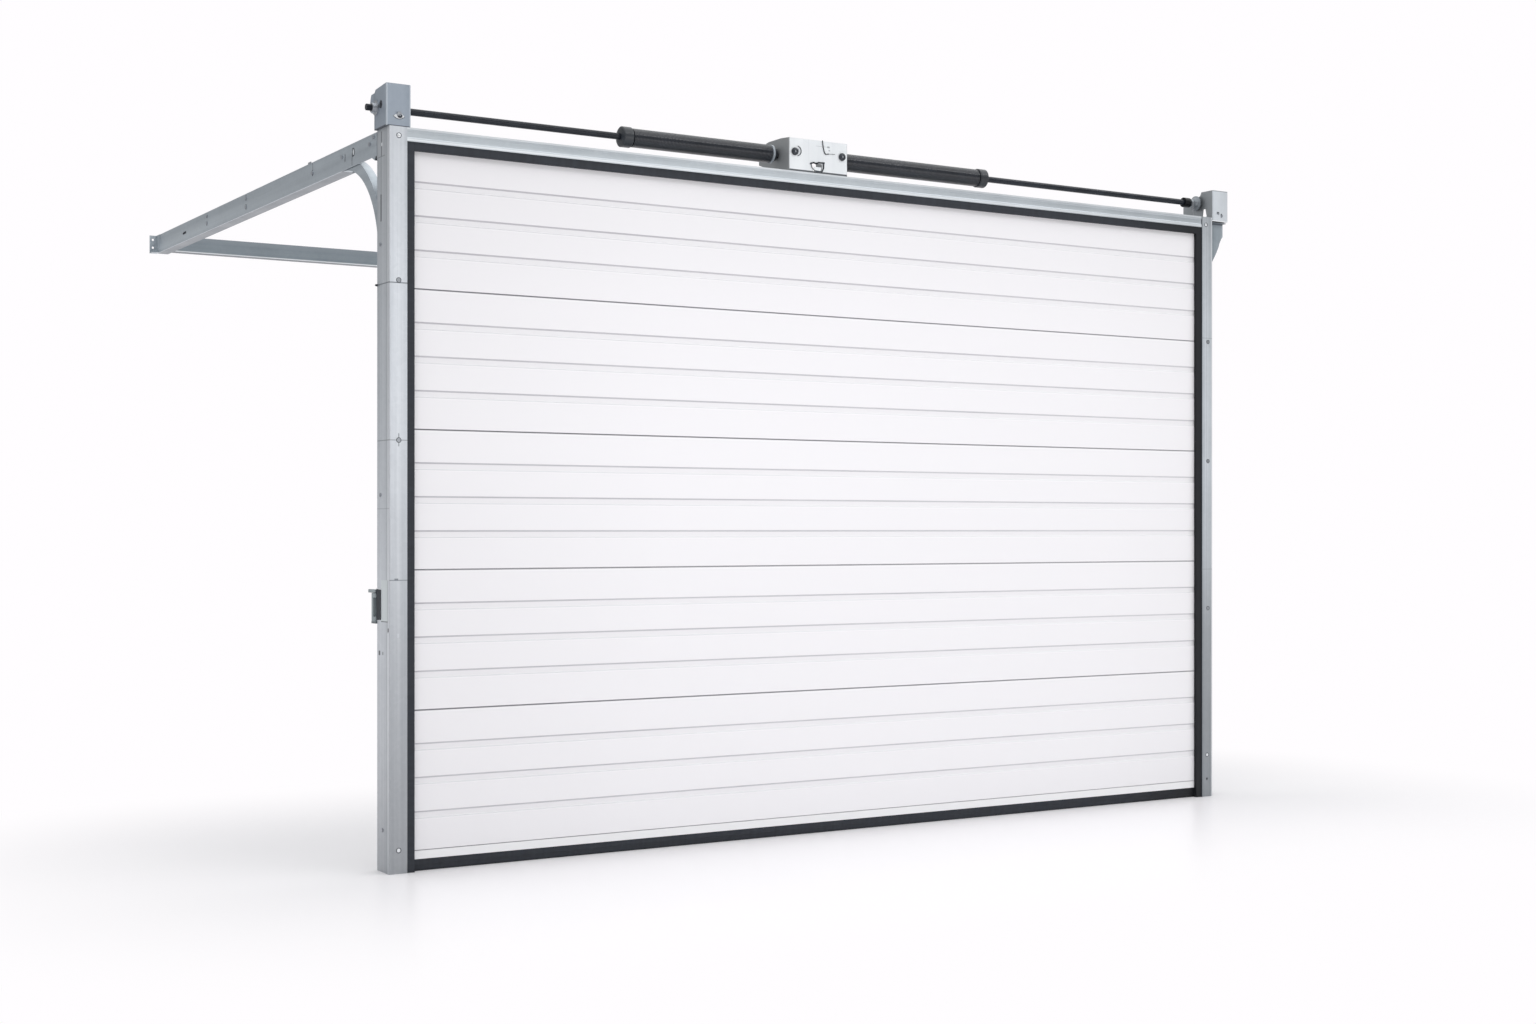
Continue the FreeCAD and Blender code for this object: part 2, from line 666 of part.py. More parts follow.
def winding_cone(x_end, sgn):
    s = float(sgn)
    X = lambda d: q(x_end) + d * s
    return turned(None, [[(X(0), sr), (X(0), 24), (X(3), 36), (X(6), 39.5),
                          (X(42), 39.5), (X(45), 37), (X(45.5), 30 - 0.4),
                          (X(80), 28), (X(80), sr)]], (SY, SZ))


group("winding_cones", [winding_cone(-1016, 1), winding_cone(738, -1)])


def fixed_cone(x_plate, sgn, ln):
    """Stationary cone bolted to the centre bracket, clear of the shaft."""
    s = float(sgn)
    X = lambda d: q(x_plate) + d * s
    ri = sr + 2.3
    return turned(None, [[(X(8.2), ri), (X(8.2), 25), (X(ln - 10), 25),
                          (X(ln - 8), 37), (X(ln), 37.5), (X(ln + 0.5), 29.5),
                          (X(ln + 34), 28), (X(ln + 34), ri)]], (SY, SZ))


group("stationary_cones", [fixed_cone(c0, -1, 33.5),
                           fixed_cone(c1, 1, 33.5)])

# ------------------------------------------------------------ the panels
LB, SH, JG = C["leaf_bottom"], C["section_height"], C["joint_gap"]
ST, RD, RW = C["skin_t"], C["rib_depth"], C["rib_width"]
LBK = C["leaf_back"]
panel_half = LH - C["cap_t"] - 0.1


def outer_skin_lines(z0, z1):
    """Front face of a panel from bottom to top, as (depth, z)."""
    pts = [(14, z0), (2.5, z0), (0, z0 + 2.5)]
    for k in (1, 2, 3):
        zg = z0 - JG * 0.5 + C["rib_%d" % k]
        pts += [(0, zg - RW - 1), (RD, zg - RW + 3), (RD, zg - 4.2),
                (0, zg + 1)]
    pts += [(0, z1 - 2.5), (2.5, z1), (14, z1)]
    return pts


def inner_skin_lines(z0, z1):
    return [(10, z0), (2, z0), (0, z0 + 2), (0, z1 - 2), (2, z1), (10, z1)]


def shell_loop(lines, face, direction, z0, z1):
    """Turn the open line into a closed sheet of the skin's thickness."""
    outer, inner = [], []
    n = len(lines)
    for i, (d, z) in enumerate(lines):
        outer.append((face + q(d) * direction, q(z)))
        if i <= 1:
            zz, dd = q(z) + ST, q(d) + (ST * 0.0 if i == 0 else ST * 0.41)
        elif i >= n - 2:
            zz, dd = q(z) - ST, q(d) + (ST * 0.0 if i == n - 1 else ST * 0.41)
        else:
            zz, dd = q(z), q(d) + ST
            if i == 2:
                zz = zz + ST * 0.41
            if i == n - 3:
                zz = zz - ST * 0.41
        inner.append((face + dd * direction, zz))
    return outer + inner[::-1], inner


cores, caps, inners = [], [], []
for k in range(5):
    z0 = LB + SH * float(k) + JG * 0.5
    z1 = LB + SH * float(k + 1) - JG * 0.5
    lo, in_o = shell_loop(outer_skin_lines(z0, z1), LF, 1.0, z0, z1)
    li, in_i = shell_loop(inner_skin_lines(z0, z1), LBK, -1.0, z0, z1)
    b = new_body("section_%d_outer_skin" % (k + 1))
    pad(b, "YZ_Plane", [lo], -panel_half, panel_half * 2)
    b = new_body("section_5_inner_skin" if k == 4 else None)
    pad(b, "YZ_Plane", [li], -panel_half, panel_half * 2)
    if k < 4:
        inners.append(b)
    # foam between the skins
    front = in_o[1:-1]
    loop = ([(front[0][0], z0 + ST)] + front[1:-1] +
            [(front[-1][0], z1 - ST), (q(16.5), z1 - ST),
             (q(19.4), z1 - 4), (q(19.4), z0 + 4), (q(16.5), z0 + ST)])
    b = new_body("section_5_core" if k == 4 else None)
    pad(b, "YZ_Plane", [loop], -(panel_half - 0.5), (panel_half - 0.5) * 2)
    if k < 4:
        cores.append(b)
    # end caps: folded channel over the panel's edge
    b = new_body()
    pad(b, "XY_Plane", [[(-LH, LF - 0.0), (-LH, LBK),
                         (-(LH - C["cap_t"]), LBK), (-(LH - C["cap_t"]), LF)]],
        z0 + 1, z1 - z0 - 2)
    caps.append((b, k))
group("lower_section_cores", cores)
group("lower_section_inner_skins", inners)
lower_caps = []
for b, k in caps[:4]:
    lower_caps += [b, mirror(b)]
group("lower_section_end_caps", lower_caps)
group("section_5_end_caps", [caps[4][0], mirror(caps[4][0])])

bp = new_body("bottom_profile")
pad(bp, "YZ_Plane", [[
    (-20, 43), (-20, LB - 0.2), (20, LB - 0.2), (20, 43), (12, 43), (12, 47),
    (16, 47), (16, 51), (-16, 51), (-16, 47), (-12, 47), (-12, 43)]],
    -LH, LH * 2)
bs = new_body("bottom_seal")
pad(bs, "YZ_Plane", [[
    (-11.5, 50.5), (-15.5, 50.5), (-15.5, 47.4), (-11.6, 47.4), (-11.6, 42.6),
    (-19, 42.6), (-19, 24), (-15, 4), (-12, 0), (12, 0), (15, 4), (19, 24),
    (19, 42.6), (11.6, 42.6), (11.6, 47.4), (15.5, 47.4), (15.5, 50.5),
    (11.5, 50.5)],
    [(-13, 36), (-10, 6), (10, 6), (13, 36)]], -LH, LH * 2)

# --------------------------------------------- hinges, carriers, rollers
HY, KR, PR = C["hinge_y"], C["knuckle_radius"], C["pin_radius"]
fit = C["running_fit"]
roller_y = BY - BR
SMR = C["stem_radius"]


def joint_z(k):
    return LB + SH * float(k)


def knuckle(x0, x1, z, rad, up):
    """Barrel with a tongue to its leaf plate."""
    zc = q(z)
    barrel = cyl("x", x0, HY, zc, KR, x1 - x0)
    if up:
        tongue = box(x0, x1, LBK + 0.4, HY - 1, zc + 1.5, zc + 14)
    else:
        tongue = box(x0, x1, LBK + 0.4, HY - 1, zc - 14, zc - 1.5)
    bore = cyl("x", x0 - 1, HY, zc, rad, x1 - x0 + 2)
    return barrel, tongue, bore


def hinge_leaf(xc, z, up, wide=64.0):
    """One plate of a hinge centred at xc; the upper leaf has two knuckles."""
    rad = PR + fit * 0.5
    solids, bores = [], []
    spans = ([(-wide / 2, -11.0), (11.0, wide / 2)] if up
             else [(-10.7, 10.7)])
    for a, b in spans:
        ba, to, bo = knuckle(xc + a, xc + b, z, rad, up)
        solids += [ba, to]
        bores.append(bo)
    y0 = LBK + 0.2
    if up:
        solids.append(box(xc - wide / 2, xc + wide / 2, y0, y0 + 2.3,
                          q(z) + 9, q(z) + 62))
    else:
        solids.append(box(xc - wide / 2, xc + wide / 2, y0, y0 + 2.3,
                          q(z) - 62, q(z) - 9))
    body = fuse(solids)
    for bo in bores:
        body = cut(body, bo)
    return body


mid_x = (-930.0, 0.0, 930.0)
lower_leaves, upper_low, upper_top, pins = [], [], [], []
end_x = 1850.0
for k in (1, 2, 3, 4):
    z = joint_z(k)
    for xc in (-end_x,) + mid_x + (end_x,):
        lower_leaves.append(hinge_leaf(xc, z, False))
        (upper_top if k == 4 else upper_low).append(hinge_leaf(xc, z, True))
        pins.append(cyl("x", xc - 34, HY, z, PR, 68))
group("hinge_lower_leaves", lower_leaves)
group("hinge_upper_leaves", upper_low)
group("top_hinge_leaves", upper_top)
group("hinge_pins", pins)


def carrier(z, base_z0, base_z1):
    """Roller carrier: plate on the panel and a standing tube for the stem."""
    z = q(z)
    y0 = LBK + 2.7
    base = box(-1886, -1824, y0, y0 + 2.5, base_z0, base_z1)
    stand = box(-1886, -1826, y0 + 1, roller_y, z - 7, z + 7)
    tube = cyl("x", -1886, roller_y, z, 9, 60)
    bore = cyl("x", -1890, roller_y, z, SMR + 0.02, 70)
    return cut(fuse([base, stand, tube]), bore)


levels = []
stems = []
carriers = []
zs = [q(100.0)] + [joint_z(k) - 30 for k in (1, 2, 3, 4)]
for z in zs:
    c = carrier(z, z - 24, z + 14)
    carriers += [c, mirror(c)]
    st = fuse([cyl("x", -1968.6, roller_y, z, SMR, 1968.6 - 1822),
               cyl("x", -1952.6, roller_y, z, 8, 3)])
    stems += [st, mirror(st)]
group("roller_carriers", carriers)
group("roller_stems", stems)

# bottom corner brackets with the cable eyes
bk = new_body()
pad(bk, "XY_Plane", [[(-1830, 20.2), (-1896, 20.2), (-1896, 23),
                      (-1830, 23)]], 46, 28)
pad(bk, "XY_Plane", [[(-1893.3, 20.2), (-1896, 20.2), (-1896, 46),
                      (-1893.3, 46)]], 46, 34)
ca, cr = C["cable_a"], C["cable_radius"]
cable_y = SY - DR - cr - 0.3
eye = cyl("x", -(ca + 5), cable_y, 60, 4.5, ca + 5 - 1896.1)
group("bottom_brackets", [bk, mirror(bk), eye, mirror(eye)])
cab = cyl("z", -ca, cable_y, 65, cr, SZ - 65)
group("lift_cables", [cab, mirror(cab)])


def roller(x0, y, z):
    """Nylon wheel with a steel-coloured hub, on its stem."""
    w = C["roller_width"]
    rb_ = SMR + fit
    return turned(None, [[
        (x0, rb_), (x0, 10), (x0 - 2.5, 10), (x0 - 2.5, 13), (x0, 15),
        (x0, RR - 2.5), (x0 - 1.5, RR), (x0 - w + 1.5, RR),
        (x0 - w, RR - 2.5), (x0 - w, 15), (x0 - w + 2.5, 13),
        (x0 - w + 2.5, 10), (x0 - w, 10), (x0 - w, rb_)]], (y, z))


names = ["bottom_rollers", "rollers_1", "rollers_2", "rollers_3", "rollers_4"]
for nm, z in zip(names, zs):
    r = roller(-C["roller_a"], roller_y, z)
    group(nm, [r, mirror(r)])
TRY, TRZ = C["top_roller_y"], C["top_roller_z"]
r = roller(-C["roller_a"], TRY, TRZ)
group("top_rollers", [r, mirror(r)])

# top roller bracket: slotted arm from the panel to the roller
arm = fuse([box(-1886, -1830, LBK + 0.2, LBK + 3, TRZ - 60, TRZ - 8),
            box(-1886, -1883, LBK + 1, TRY + 12, TRZ - 30, TRZ + 12),
            cyl("x", -1886, TRY, TRZ, 10, 40)])
tb = cut(arm, cyl("x", -1890, TRY, TRZ, SMR + 0.02, 60))
st = fuse([cyl("x", -1968.6, TRY, TRZ, SMR, 1968.6 - 1840),
           cyl("x", -1952.6, TRY, TRZ, 8, 3)])
group("top_roller_brackets", [tb, mirror(tb), st, mirror(st)])

# ------------------------------------------------------ clips, fasteners
clips = []
for z in (300, 840, 1260, 1760, 2110):
    c = box(-(W - T - 0.2), -(TW + 0.2), y_f + 4, y_r - 4, z - 25, z + 25)
    clips += [c, mirror(c)]
group("track_clips", clips)

screws = []


def dome(axis, x, y, z, r, length):
    return cyl(axis, x, y, z, r, length)


SCH = C["screw_head"]
for x, z in FLUSH:
    screws.append(fuse([cyl("y", x, FY + 0.1, z, SCH, 1.1),
                        cyl("y", x, FY + 0.1, z, 3.3, 9),
                        hexagon("y", x, FY + T + 0.1, z, 6.4, 4)]))
for y, z in ((43, 1339), (24, 150), (43, 2230)):
    screws.append(dome("x", -W - 3, y, z, SCH, 2.9))
    screws.append(dome("x", W + 0.1, y, z, SCH, 2.9))
screws.append(dome("x", W + 0.1, -20, 858, SCH, 9))
screws.append(cyl("y", -1966, 80.1, 2083, 5, 14))
group("frame_screws", screws)

BH = C["bolt_head"]
bolts = [hexagon("y", -1941, FY - 6, 2683, BH, 5.9),
         hexagon("y", -278, FY - 8, 2718, 11, 7.9),
         hexagon("y", -58, FY - 8, 2716, 11, 7.9),
         hexagon("y", 2012, FY - 4, 2660, 5, 3.9),
         hexagon("y", 2034, FY - 4, 2652, 5, 3.9)]
for x in (-250, -94):
    bolts.append(hexagon("z", x, 8, cz0 + BT + 0.1, BH, 6))
for x in (-1965, -1934):
    bolts.append(hexagon("z", x, -10, zb + BT + 0.1, BH, 6))
group("bracket_bolts", bolts)

tbolts = []
for y, z in ((2196, 2619), (2196, 2588), (1620, 2618), (1620, 2580),
             (772, 2595), (441, 2604), (150, 2604), (110, 2622)):
    tbolts.append(cyl("x", -W - 4, y, z, 8, 3.9))
    tbolts.append(cyl("x", W + 0.1, y, z, 8, 3.9))
# joining clip on top of the web
for s in (-1, 1):
    x0 = -W - 1.0 if s < 0 else W - 2.0
    tbolts.append(box(x0, x0 + 3.0, 790, 822, WT + 0.1, WT + 6))
group("track_bolts", tbolts)

# ------------------------------------------------------- the side latch
lk = new_body("latch_bracket")
ly0 = FY + C["post_depth"] + 0.2
pad(lk, "XY_Plane", [[(-W, ly0), (-W + 26, ly0), (-W + 26, ly0 + 3),
                      (-W, ly0 + 3)]], 880, 124)
pad(lk, "XY_Plane", [[(-W - 6, ly0), (-W + 20, ly0), (-W + 20, 150),
                      (-W + 12, 168), (-W + 2, 168), (-W - 6, 150)]], 990, 11)
pad(lk, "XY_Plane", [[(-W - 4, ly0), (-W + 18, ly0), (-W + 18, 124),
                      (-W - 4, 124)]], 880, 8)
pocket(lk, "XY_Plane", [("c", -W + 6, 106, 5.05)], 985, 10)
pocket(lk, "XY_Plane", [("c", -W + 6, 106, 5.05)], 884, 5)
lbar = fuse([cyl("z", -W + 6, 106, 889, 15, 100),
             cyl("z", -W + 6, 106, 885, 5, 108)])
lbar = cut(lbar, box(-W - 14, -W + 26, 86, 98, 905, 973))
keep(lbar, "latch_bar")

# ---------------------------------------------------------------- export
doc.recompute()
labels = set()
for o in doc.Objects:
    bad = [s for s in o.State if "Invalid" in s or "Error" in s]
    if bad:
        raise RuntimeError("%s (%s): %s" % (o.Name, o.Label, bad))
for o in KEEP:
    if o.Label in labels:
        raise RuntimeError("two sub-parts called " + o.Label)
    labels.add(o.Label)
    if o.Shape.isNull() or not o.Shape.isValid() or not o.Shape.Solids:
        raise RuntimeError("bad shape in " + o.Label)
os.makedirs("parts", exist_ok=True)
for o in KEEP:
    o.Shape.exportStep("parts/%s.step" % o.Label)
print(len(KEEP), "sub-parts written")
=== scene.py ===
import math

import bmesh
import bpy
from mathutils import Matrix, Vector


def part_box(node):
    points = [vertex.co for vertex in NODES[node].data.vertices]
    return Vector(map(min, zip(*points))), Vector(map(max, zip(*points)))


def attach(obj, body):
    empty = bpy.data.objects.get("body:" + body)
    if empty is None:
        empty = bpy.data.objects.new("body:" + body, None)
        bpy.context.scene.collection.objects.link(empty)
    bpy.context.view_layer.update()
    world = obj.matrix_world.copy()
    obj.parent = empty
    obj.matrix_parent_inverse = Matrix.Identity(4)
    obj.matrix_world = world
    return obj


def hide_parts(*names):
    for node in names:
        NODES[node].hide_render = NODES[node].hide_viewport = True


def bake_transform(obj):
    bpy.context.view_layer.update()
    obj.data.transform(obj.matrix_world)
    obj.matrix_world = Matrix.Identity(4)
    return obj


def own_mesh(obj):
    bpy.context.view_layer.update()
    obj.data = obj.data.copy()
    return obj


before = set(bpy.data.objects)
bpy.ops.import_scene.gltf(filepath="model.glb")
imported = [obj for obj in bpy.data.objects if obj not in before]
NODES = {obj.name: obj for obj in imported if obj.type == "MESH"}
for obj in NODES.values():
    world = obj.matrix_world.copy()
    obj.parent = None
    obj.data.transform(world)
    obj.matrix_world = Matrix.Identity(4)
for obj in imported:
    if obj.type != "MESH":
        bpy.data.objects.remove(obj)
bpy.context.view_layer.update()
MM = 0.001


LEAF_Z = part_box("section_1_outer_skin")[0].z - 0.5 * MM
PITCH = (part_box("section_5_outer_skin")[1].z - LEAF_Z) / 20
RIBS = (139.5, 261.5, 382.0)


# ------------------------------------------------------------------ materials
class Tree:
    """A short way to write a node material."""

    def __init__(self, name):
        self.m = bpy.data.materials.new(name)
        self.m.use_nodes = True
        self.t = self.m.node_tree
        self.t.nodes.clear()
        self.out = self.t.nodes.new("ShaderNodeOutputMaterial")
        self.b = self.t.nodes.new("ShaderNodeBsdfPrincipled")
        self.t.links.new(self.b.outputs[0], self.out.inputs[0])
        self.co = self.t.nodes.new("ShaderNodeTexCoord").outputs["Object"]

    def link(self, a, b):
        self.t.links.new(a, b)

    def value(self, socket, v):
        if hasattr(v, "is_linked"):
            self.link(v, socket)
        else:
            socket.default_value = v

    def mapped(self, scale, location=(0, 0, 0), rotation=(0, 0, 0), src=None):
        n = self.t.nodes.new("ShaderNodeMapping")
        n.inputs["Scale"].default_value = scale
        n.inputs["Location"].default_value = location
        n.inputs["Rotation"].default_value = rotation
        self.link(src or self.co, n.inputs["Vector"])
        return n.outputs[0]

    def noise(self, scale, vec=None, detail=3.0, rough=0.5, distort=0.0):
        n = self.t.nodes.new("ShaderNodeTexNoise")
        n.inputs["Scale"].default_value = scale
        n.inputs["Detail"].default_value = detail
        n.inputs["Roughness"].default_value = rough
        n.inputs["Distortion"].default_value = distort
        self.link(vec or self.co, n.inputs["Vector"])
        return n.outputs["Fac"]

    def voronoi(self, scale, vec=None, feature="F1", out="Color"):
        n = self.t.nodes.new("ShaderNodeTexVoronoi")
        n.feature = feature
        n.inputs["Scale"].default_value = scale
        self.link(vec or self.co, n.inputs["Vector"])
        return n.outputs[out]

    def ramp(self, fac, stops, interp="LINEAR"):
        n = self.t.nodes.new("ShaderNodeValToRGB")
        n.color_ramp.interpolation = interp
        e = n.color_ramp.elements
        while len(e) > 1:
            e.remove(e[-1])
        for i, (p, c) in enumerate(stops):
            if isinstance(c, (int, float)):
                c = (c, c, c)
            el = e[0] if i == 0 else e.new(p)
            el.position = p
            el.color = (c[0], c[1], c[2], 1.0)
        self.link(fac, n.inputs["Fac"])
        return n.outputs["Color"]

    def mix(self, fac, a, b, kind="MIX"):
        n = self.t.nodes.new("ShaderNodeMix")
        n.data_type = "RGBA"
        n.blend_type = kind
        n.clamp_result = False
        self.value(n.inputs[0], fac)
        for s, v in ((n.inputs[6], a), (n.inputs[7], b)):
            if isinstance(v, (tuple, list)):
                s.default_value = (v[0], v[1], v[2], 1.0)
            else:
                self.link(v, s)
        return n.outputs[2]

    def math(self, op, a, b=0.0, c=0.0):
        n = self.t.nodes.new("ShaderNodeMath")
        n.operation = op
        for s, v in zip(n.inputs, (a, b, c)):
            self.value(s, v)
        return n.outputs[0]

    def span(self, v, a, b, lo=0.0, hi=1.0, smooth=False):
        n = self.t.nodes.new("ShaderNodeMapRange")
        if smooth:
            n.interpolation_type = "SMOOTHSTEP"
        n.clamp = True
        self.link(v, n.inputs[0])
        for i, x in zip((1, 2, 3, 4), (a, b, lo, hi)):
            n.inputs[i].default_value = x
        return n.outputs[0]

    def axis(self, which):
        n = self.t.nodes.new("ShaderNodeSeparateXYZ")
        self.link(self.co, n.inputs[0])
        return n.outputs["XYZ".index(which)]

    def normal_axis(self, which):
        g = self.t.nodes.new("ShaderNodeTexCoord").outputs["Normal"]
        n = self.t.nodes.new("ShaderNodeSeparateXYZ")
        self.link(g, n.inputs[0])
        return n.outputs["XYZ".index(which)]

    def marks(self, col, items):
        """Small marks and shades at places given in millimetres. Each item:
        axis spans, colour, strength, softness."""
        for spans, colour, strength, soft in items:
            k = None
            for which, (lo, hi) in spans.items():
                v, e = self.axis(which), soft * MM
                m = None
                if lo is not None:
                    m = self.span(v, lo * MM - e, lo * MM + e)
                if hi is not None:
                    n = self.span(v, hi * MM - e, hi * MM + e, 1.0, 0.0)
                    m = n if m is None else self.math("MULTIPLY", m, n)
                k = m if k is None else self.math("MULTIPLY", k, m)
            col = self.mix(self.math("MULTIPLY", k, strength), col, colour)
        return col

    def shade(self, col, which, stops, spans=None):
        """Multiply the colour by a factor that follows one axis (mm, factor)."""
        lo, hi = stops[0][0] * MM, stops[-1][0] * MM
        f = self.ramp(self.span(self.axis(which), lo, hi),
                      [((a * MM - lo) / (hi - lo), b) for a, b in stops])
        full = self.mix(1.0, col, f, "MULTIPLY")
        if spans is None:
            return full
        k = None
        for w, (a, b) in spans.items():
            v = self.axis(w)
            m = self.math("GREATER_THAN", v, a * MM) if b is None else self.math("LESS_THAN", v, b * MM)
            k = m if k is None else self.math("MULTIPLY", k, m)
        return self.mix(k, col, full)

    def bump(self, height, strength, distance=0.001, under=None):
        n = self.t.nodes.new("ShaderNodeBump")
        n.inputs["Strength"].default_value = strength
        n.inputs["Distance"].default_value = distance
        self.link(height, n.inputs["Height"])
        if under is not None:
            self.link(under, n.inputs["Normal"])
        return n.outputs[0]

    def done(self, color, rough, metallic=0.0, normal=None, specular=None,
             coat=None, coat_rough=None, sheen=None):
        b = self.b
        if isinstance(color, (tuple, list)):
            b.inputs["Base Color"].default_value = (*color[:3], 1.0)
        else:
            self.link(color, b.inputs["Base Color"])
        self.value(b.inputs["Roughness"], rough)
        self.value(b.inputs["Metallic"], metallic)
        if normal is not None:
            self.link(normal, b.inputs["Normal"])
        if specular is not None:
            b.inputs["Specular IOR Level"].default_value = specular
        if coat is not None:
            b.inputs["Coat Weight"].default_value = coat
            b.inputs["Coat Roughness"].default_value = coat_rough
        if sheen is not None:
            b.inputs["Sheen Weight"].default_value = sheen
        return self.m


def galvanised(name, light, dark, along="Z", metallic=0.85, rough=0.38, streak=0.5,
               marks=(), shades=()):
    """Zinc-coated sheet: faint spangle, rolling streaks along its length, small
    scuffs, and a duller film in places."""
    t = Tree(name)
    stretch = {"X": (0.35, 34, 34), "Y": (34, 0.35, 34), "Z": (34, 34, 0.35)}[along]
    wide = {"X": (0.10, 9, 9), "Y": (9, 0.10, 9), "Z": (9, 9, 0.10)}[along]
    fine = t.noise(1.0, t.mapped(stretch), 4, 0.6)
    broad = t.noise(1.0, t.mapped(wide, (3.1, 1.7, 0.4)), 3, 0.5)
    cells = t.voronoi(70.0)
    grey = t.t.nodes.new("ShaderNodeRGBToBW")
    t.link(cells, grey.inputs[0])
    spangle = t.span(grey.outputs[0], 0.1, 0.9, -0.045, 0.045)
    cloud = t.noise(5.0, None, 4, 0.55)
    f = t.math("MULTIPLY_ADD", t.span(fine, 0.3, 0.7), 0.45,
               t.math("MULTIPLY", t.span(broad, 0.32, 0.68, smooth=True), 0.55))
    f = t.math("ADD", t.math("MULTIPLY_ADD", t.math("SUBTRACT", f, 0.5), streak, 0.5), spangle)
    col = t.mix(t.span(f, 0.0, 1.0), dark, light)
    film = t.span(cloud, 0.42, 0.72)
    col = t.mix(t.math("MULTIPLY", film, 0.22), col, tuple(c * 0.86 for c in light))
    scuff = t.span(t.noise(1.0, t.mapped(tuple(v * 3 for v in stretch), (7, 2, 5)), 2, 0.7), 0.67, 0.72)
    col = t.mix(t.math("MULTIPLY", scuff, 0.25), col, tuple(c * 0.6 for c in dark))
    # the shade ramps passed in here are painted shade; the marks mix real marks with painted shade and painted
    # highlights
    for sh in shades:
        col = t.shade(col, *sh)
    col = t.marks(col, marks)
    r = t.math("ADD", t.span(fine, 0.2, 0.8, rough - 0.06, rough + 0.08),
               t.math("MULTIPLY", film, 0.10))
    n = t.bump(fine, 0.10, 0.0004)
    n = t.bump(grey.outputs[0], 0.03, 0.0004, n)
    return t.done(col, r, metallic, n)


def white_paint(name, base, peel=0.05, ribs=False):
    """Polyester paint on steel: even, a little softened by fine peel. Each rolled
    rib carries painted shade under its upper edge and across its recess, and a painted highlight on its lower edge;
    the joints between the panels are dark lines with a painted highlight below them."""
    t = Tree(name)
    cloud = t.noise(1.3, None, 3, 0.5)
    long = t.noise(1.0, t.mapped((0.25, 2, 9)), 2, 0.5)
    k = t.math("MULTIPLY_ADD", t.math("SUBTRACT", cloud, 0.5), 0.05,
               t.math("MULTIPLY_ADD", t.math("SUBTRACT", long, 0.5), 0.03, 0.5))
    col = t.mix(t.span(k, 0.44, 0.56), tuple(c * 0.985 for c in base), tuple(min(1, c * 1.012) for c in base))
    if ribs:
        z, x = t.axis("Z"), t.axis("X")
        u = t.math("SUBTRACT", z, LEAF_Z)
        joint = t.math("WRAP", u, PITCH * 2, -PITCH * 2)
        within = t.math("WRAP", u, PITCH * 4, 0.0)
        # left and middle weight the painted rib shade by position across the door, stronger towards the left; uneven
        # varies it at random
        left = t.span(x, -1.9, 1.9, 1.0, 0.75)
        middle = t.span(x, -1.4, 1.4, 1.0, 0.45)
        uneven = t.span(t.noise(1.0, t.mapped((1.4, 1, 9)), 3, 0.6), 0.3, 0.7, 0.80, 1.1)
        upper = lower = rib_recess_shade = rib_edge_highlight = None
        # for each rib: m1 is painted shade under the upper edge, m2 a painted shade line lower down, m3 painted shade
        # across the recess, m4 a painted highlight on the lower edge
        for off in RIBS:
            d = t.math("SUBTRACT", within, off * MM)
            m1 = t.math("MULTIPLY", t.span(d, -0.0050, -0.0034, smooth=True), t.span(d, 0.0010, 0.0020, 1, 0, smooth=True))
            m2 = t.math("MULTIPLY", t.span(d, -0.0272, -0.0258, smooth=True), t.span(d, -0.0238, -0.0224, 1, 0, smooth=True))
            m3 = t.math("MULTIPLY", t.span(d, -0.0225, -0.0205, smooth=True), t.span(d, -0.004, -0.002, 1, 0))
            m4 = t.math("MULTIPLY", t.span(d, -0.0310, -0.0298, smooth=True), t.span(d, -0.0272, -0.0262, 1, 0, smooth=True))
            upper = m1 if upper is None else t.math("MAXIMUM", upper, m1)
            lower = m2 if lower is None else t.math("MAXIMUM", lower, m2)
            rib_recess_shade = m3 if rib_recess_shade is None else t.math("MAXIMUM", rib_recess_shade, m3)
            rib_edge_highlight = m4 if rib_edge_highlight is None else t.math("MAXIMUM", rib_edge_highlight, m4)
        col = t.mix(t.math("MULTIPLY", upper, t.math("MULTIPLY", t.math("MULTIPLY", left, uneven), 0.74)), col, (0.42, 0.41, 0.45))
        col = t.mix(t.math("MULTIPLY", lower, t.math("MULTIPLY", t.math("MULTIPLY", middle, uneven), 0.50)), col, (0.55, 0.55, 0.58))
        col = t.mix(t.math("MULTIPLY", rib_recess_shade, 0.18), col, (0.80, 0.80, 0.82))
        col = t.mix(t.math("MULTIPLY", rib_edge_highlight, 0.35), col, (0.97, 0.97, 0.98))
        # the joints between the panels are dark lines; their weighting towards the left is painted shade
        gap = t.math("MULTIPLY", t.span(joint, -0.0035, -0.0018, smooth=True),
                     t.span(joint, 0.0018, 0.0035, 1, 0, smooth=True))
        col = t.mix(t.math("MULTIPLY", gap, t.math("MULTIPLY", left, 0.85)), col, (0.25, 0.25, 0.28))
        # a painted highlight just below each joint
        joint_highlight = t.math("MULTIPLY", t.span(joint, -0.0115, -0.0085, smooth=True),
                       t.span(joint, -0.0050, -0.0036, 1, 0, smooth=True))
        col = t.mix(t.math("MULTIPLY", joint_highlight, 0.4), col, (0.96, 0.96, 0.97))
        # painted shade: the leaf darker towards its top and towards its side edges
        col = t.shade(col, "Z", ((60, 1.0), (1500, 1.0), (2100, 0.97), (2400, 0.93), (2572, 0.92)))
        col = t.shade(col, "X", ((-1892, 0.95), (-1500, 0.97), (-900, 1.0), (0, 1.0), (1300, 0.98), (1892, 0.95)))
    fine = t.noise(420.0, None, 2, 0.5)
    orange = t.noise(110.0, t.mapped((1, 1, 0.7)), 2, 0.5)
    r = t.span(orange, 0.3, 0.7, 0.30, 0.40)
    n = t.bump(orange, peel, 0.0004)
    n = t.bump(fine, peel * 0.6, 0.0002, n)
    return t.done(col, r, 0.0, n, specular=0.42)


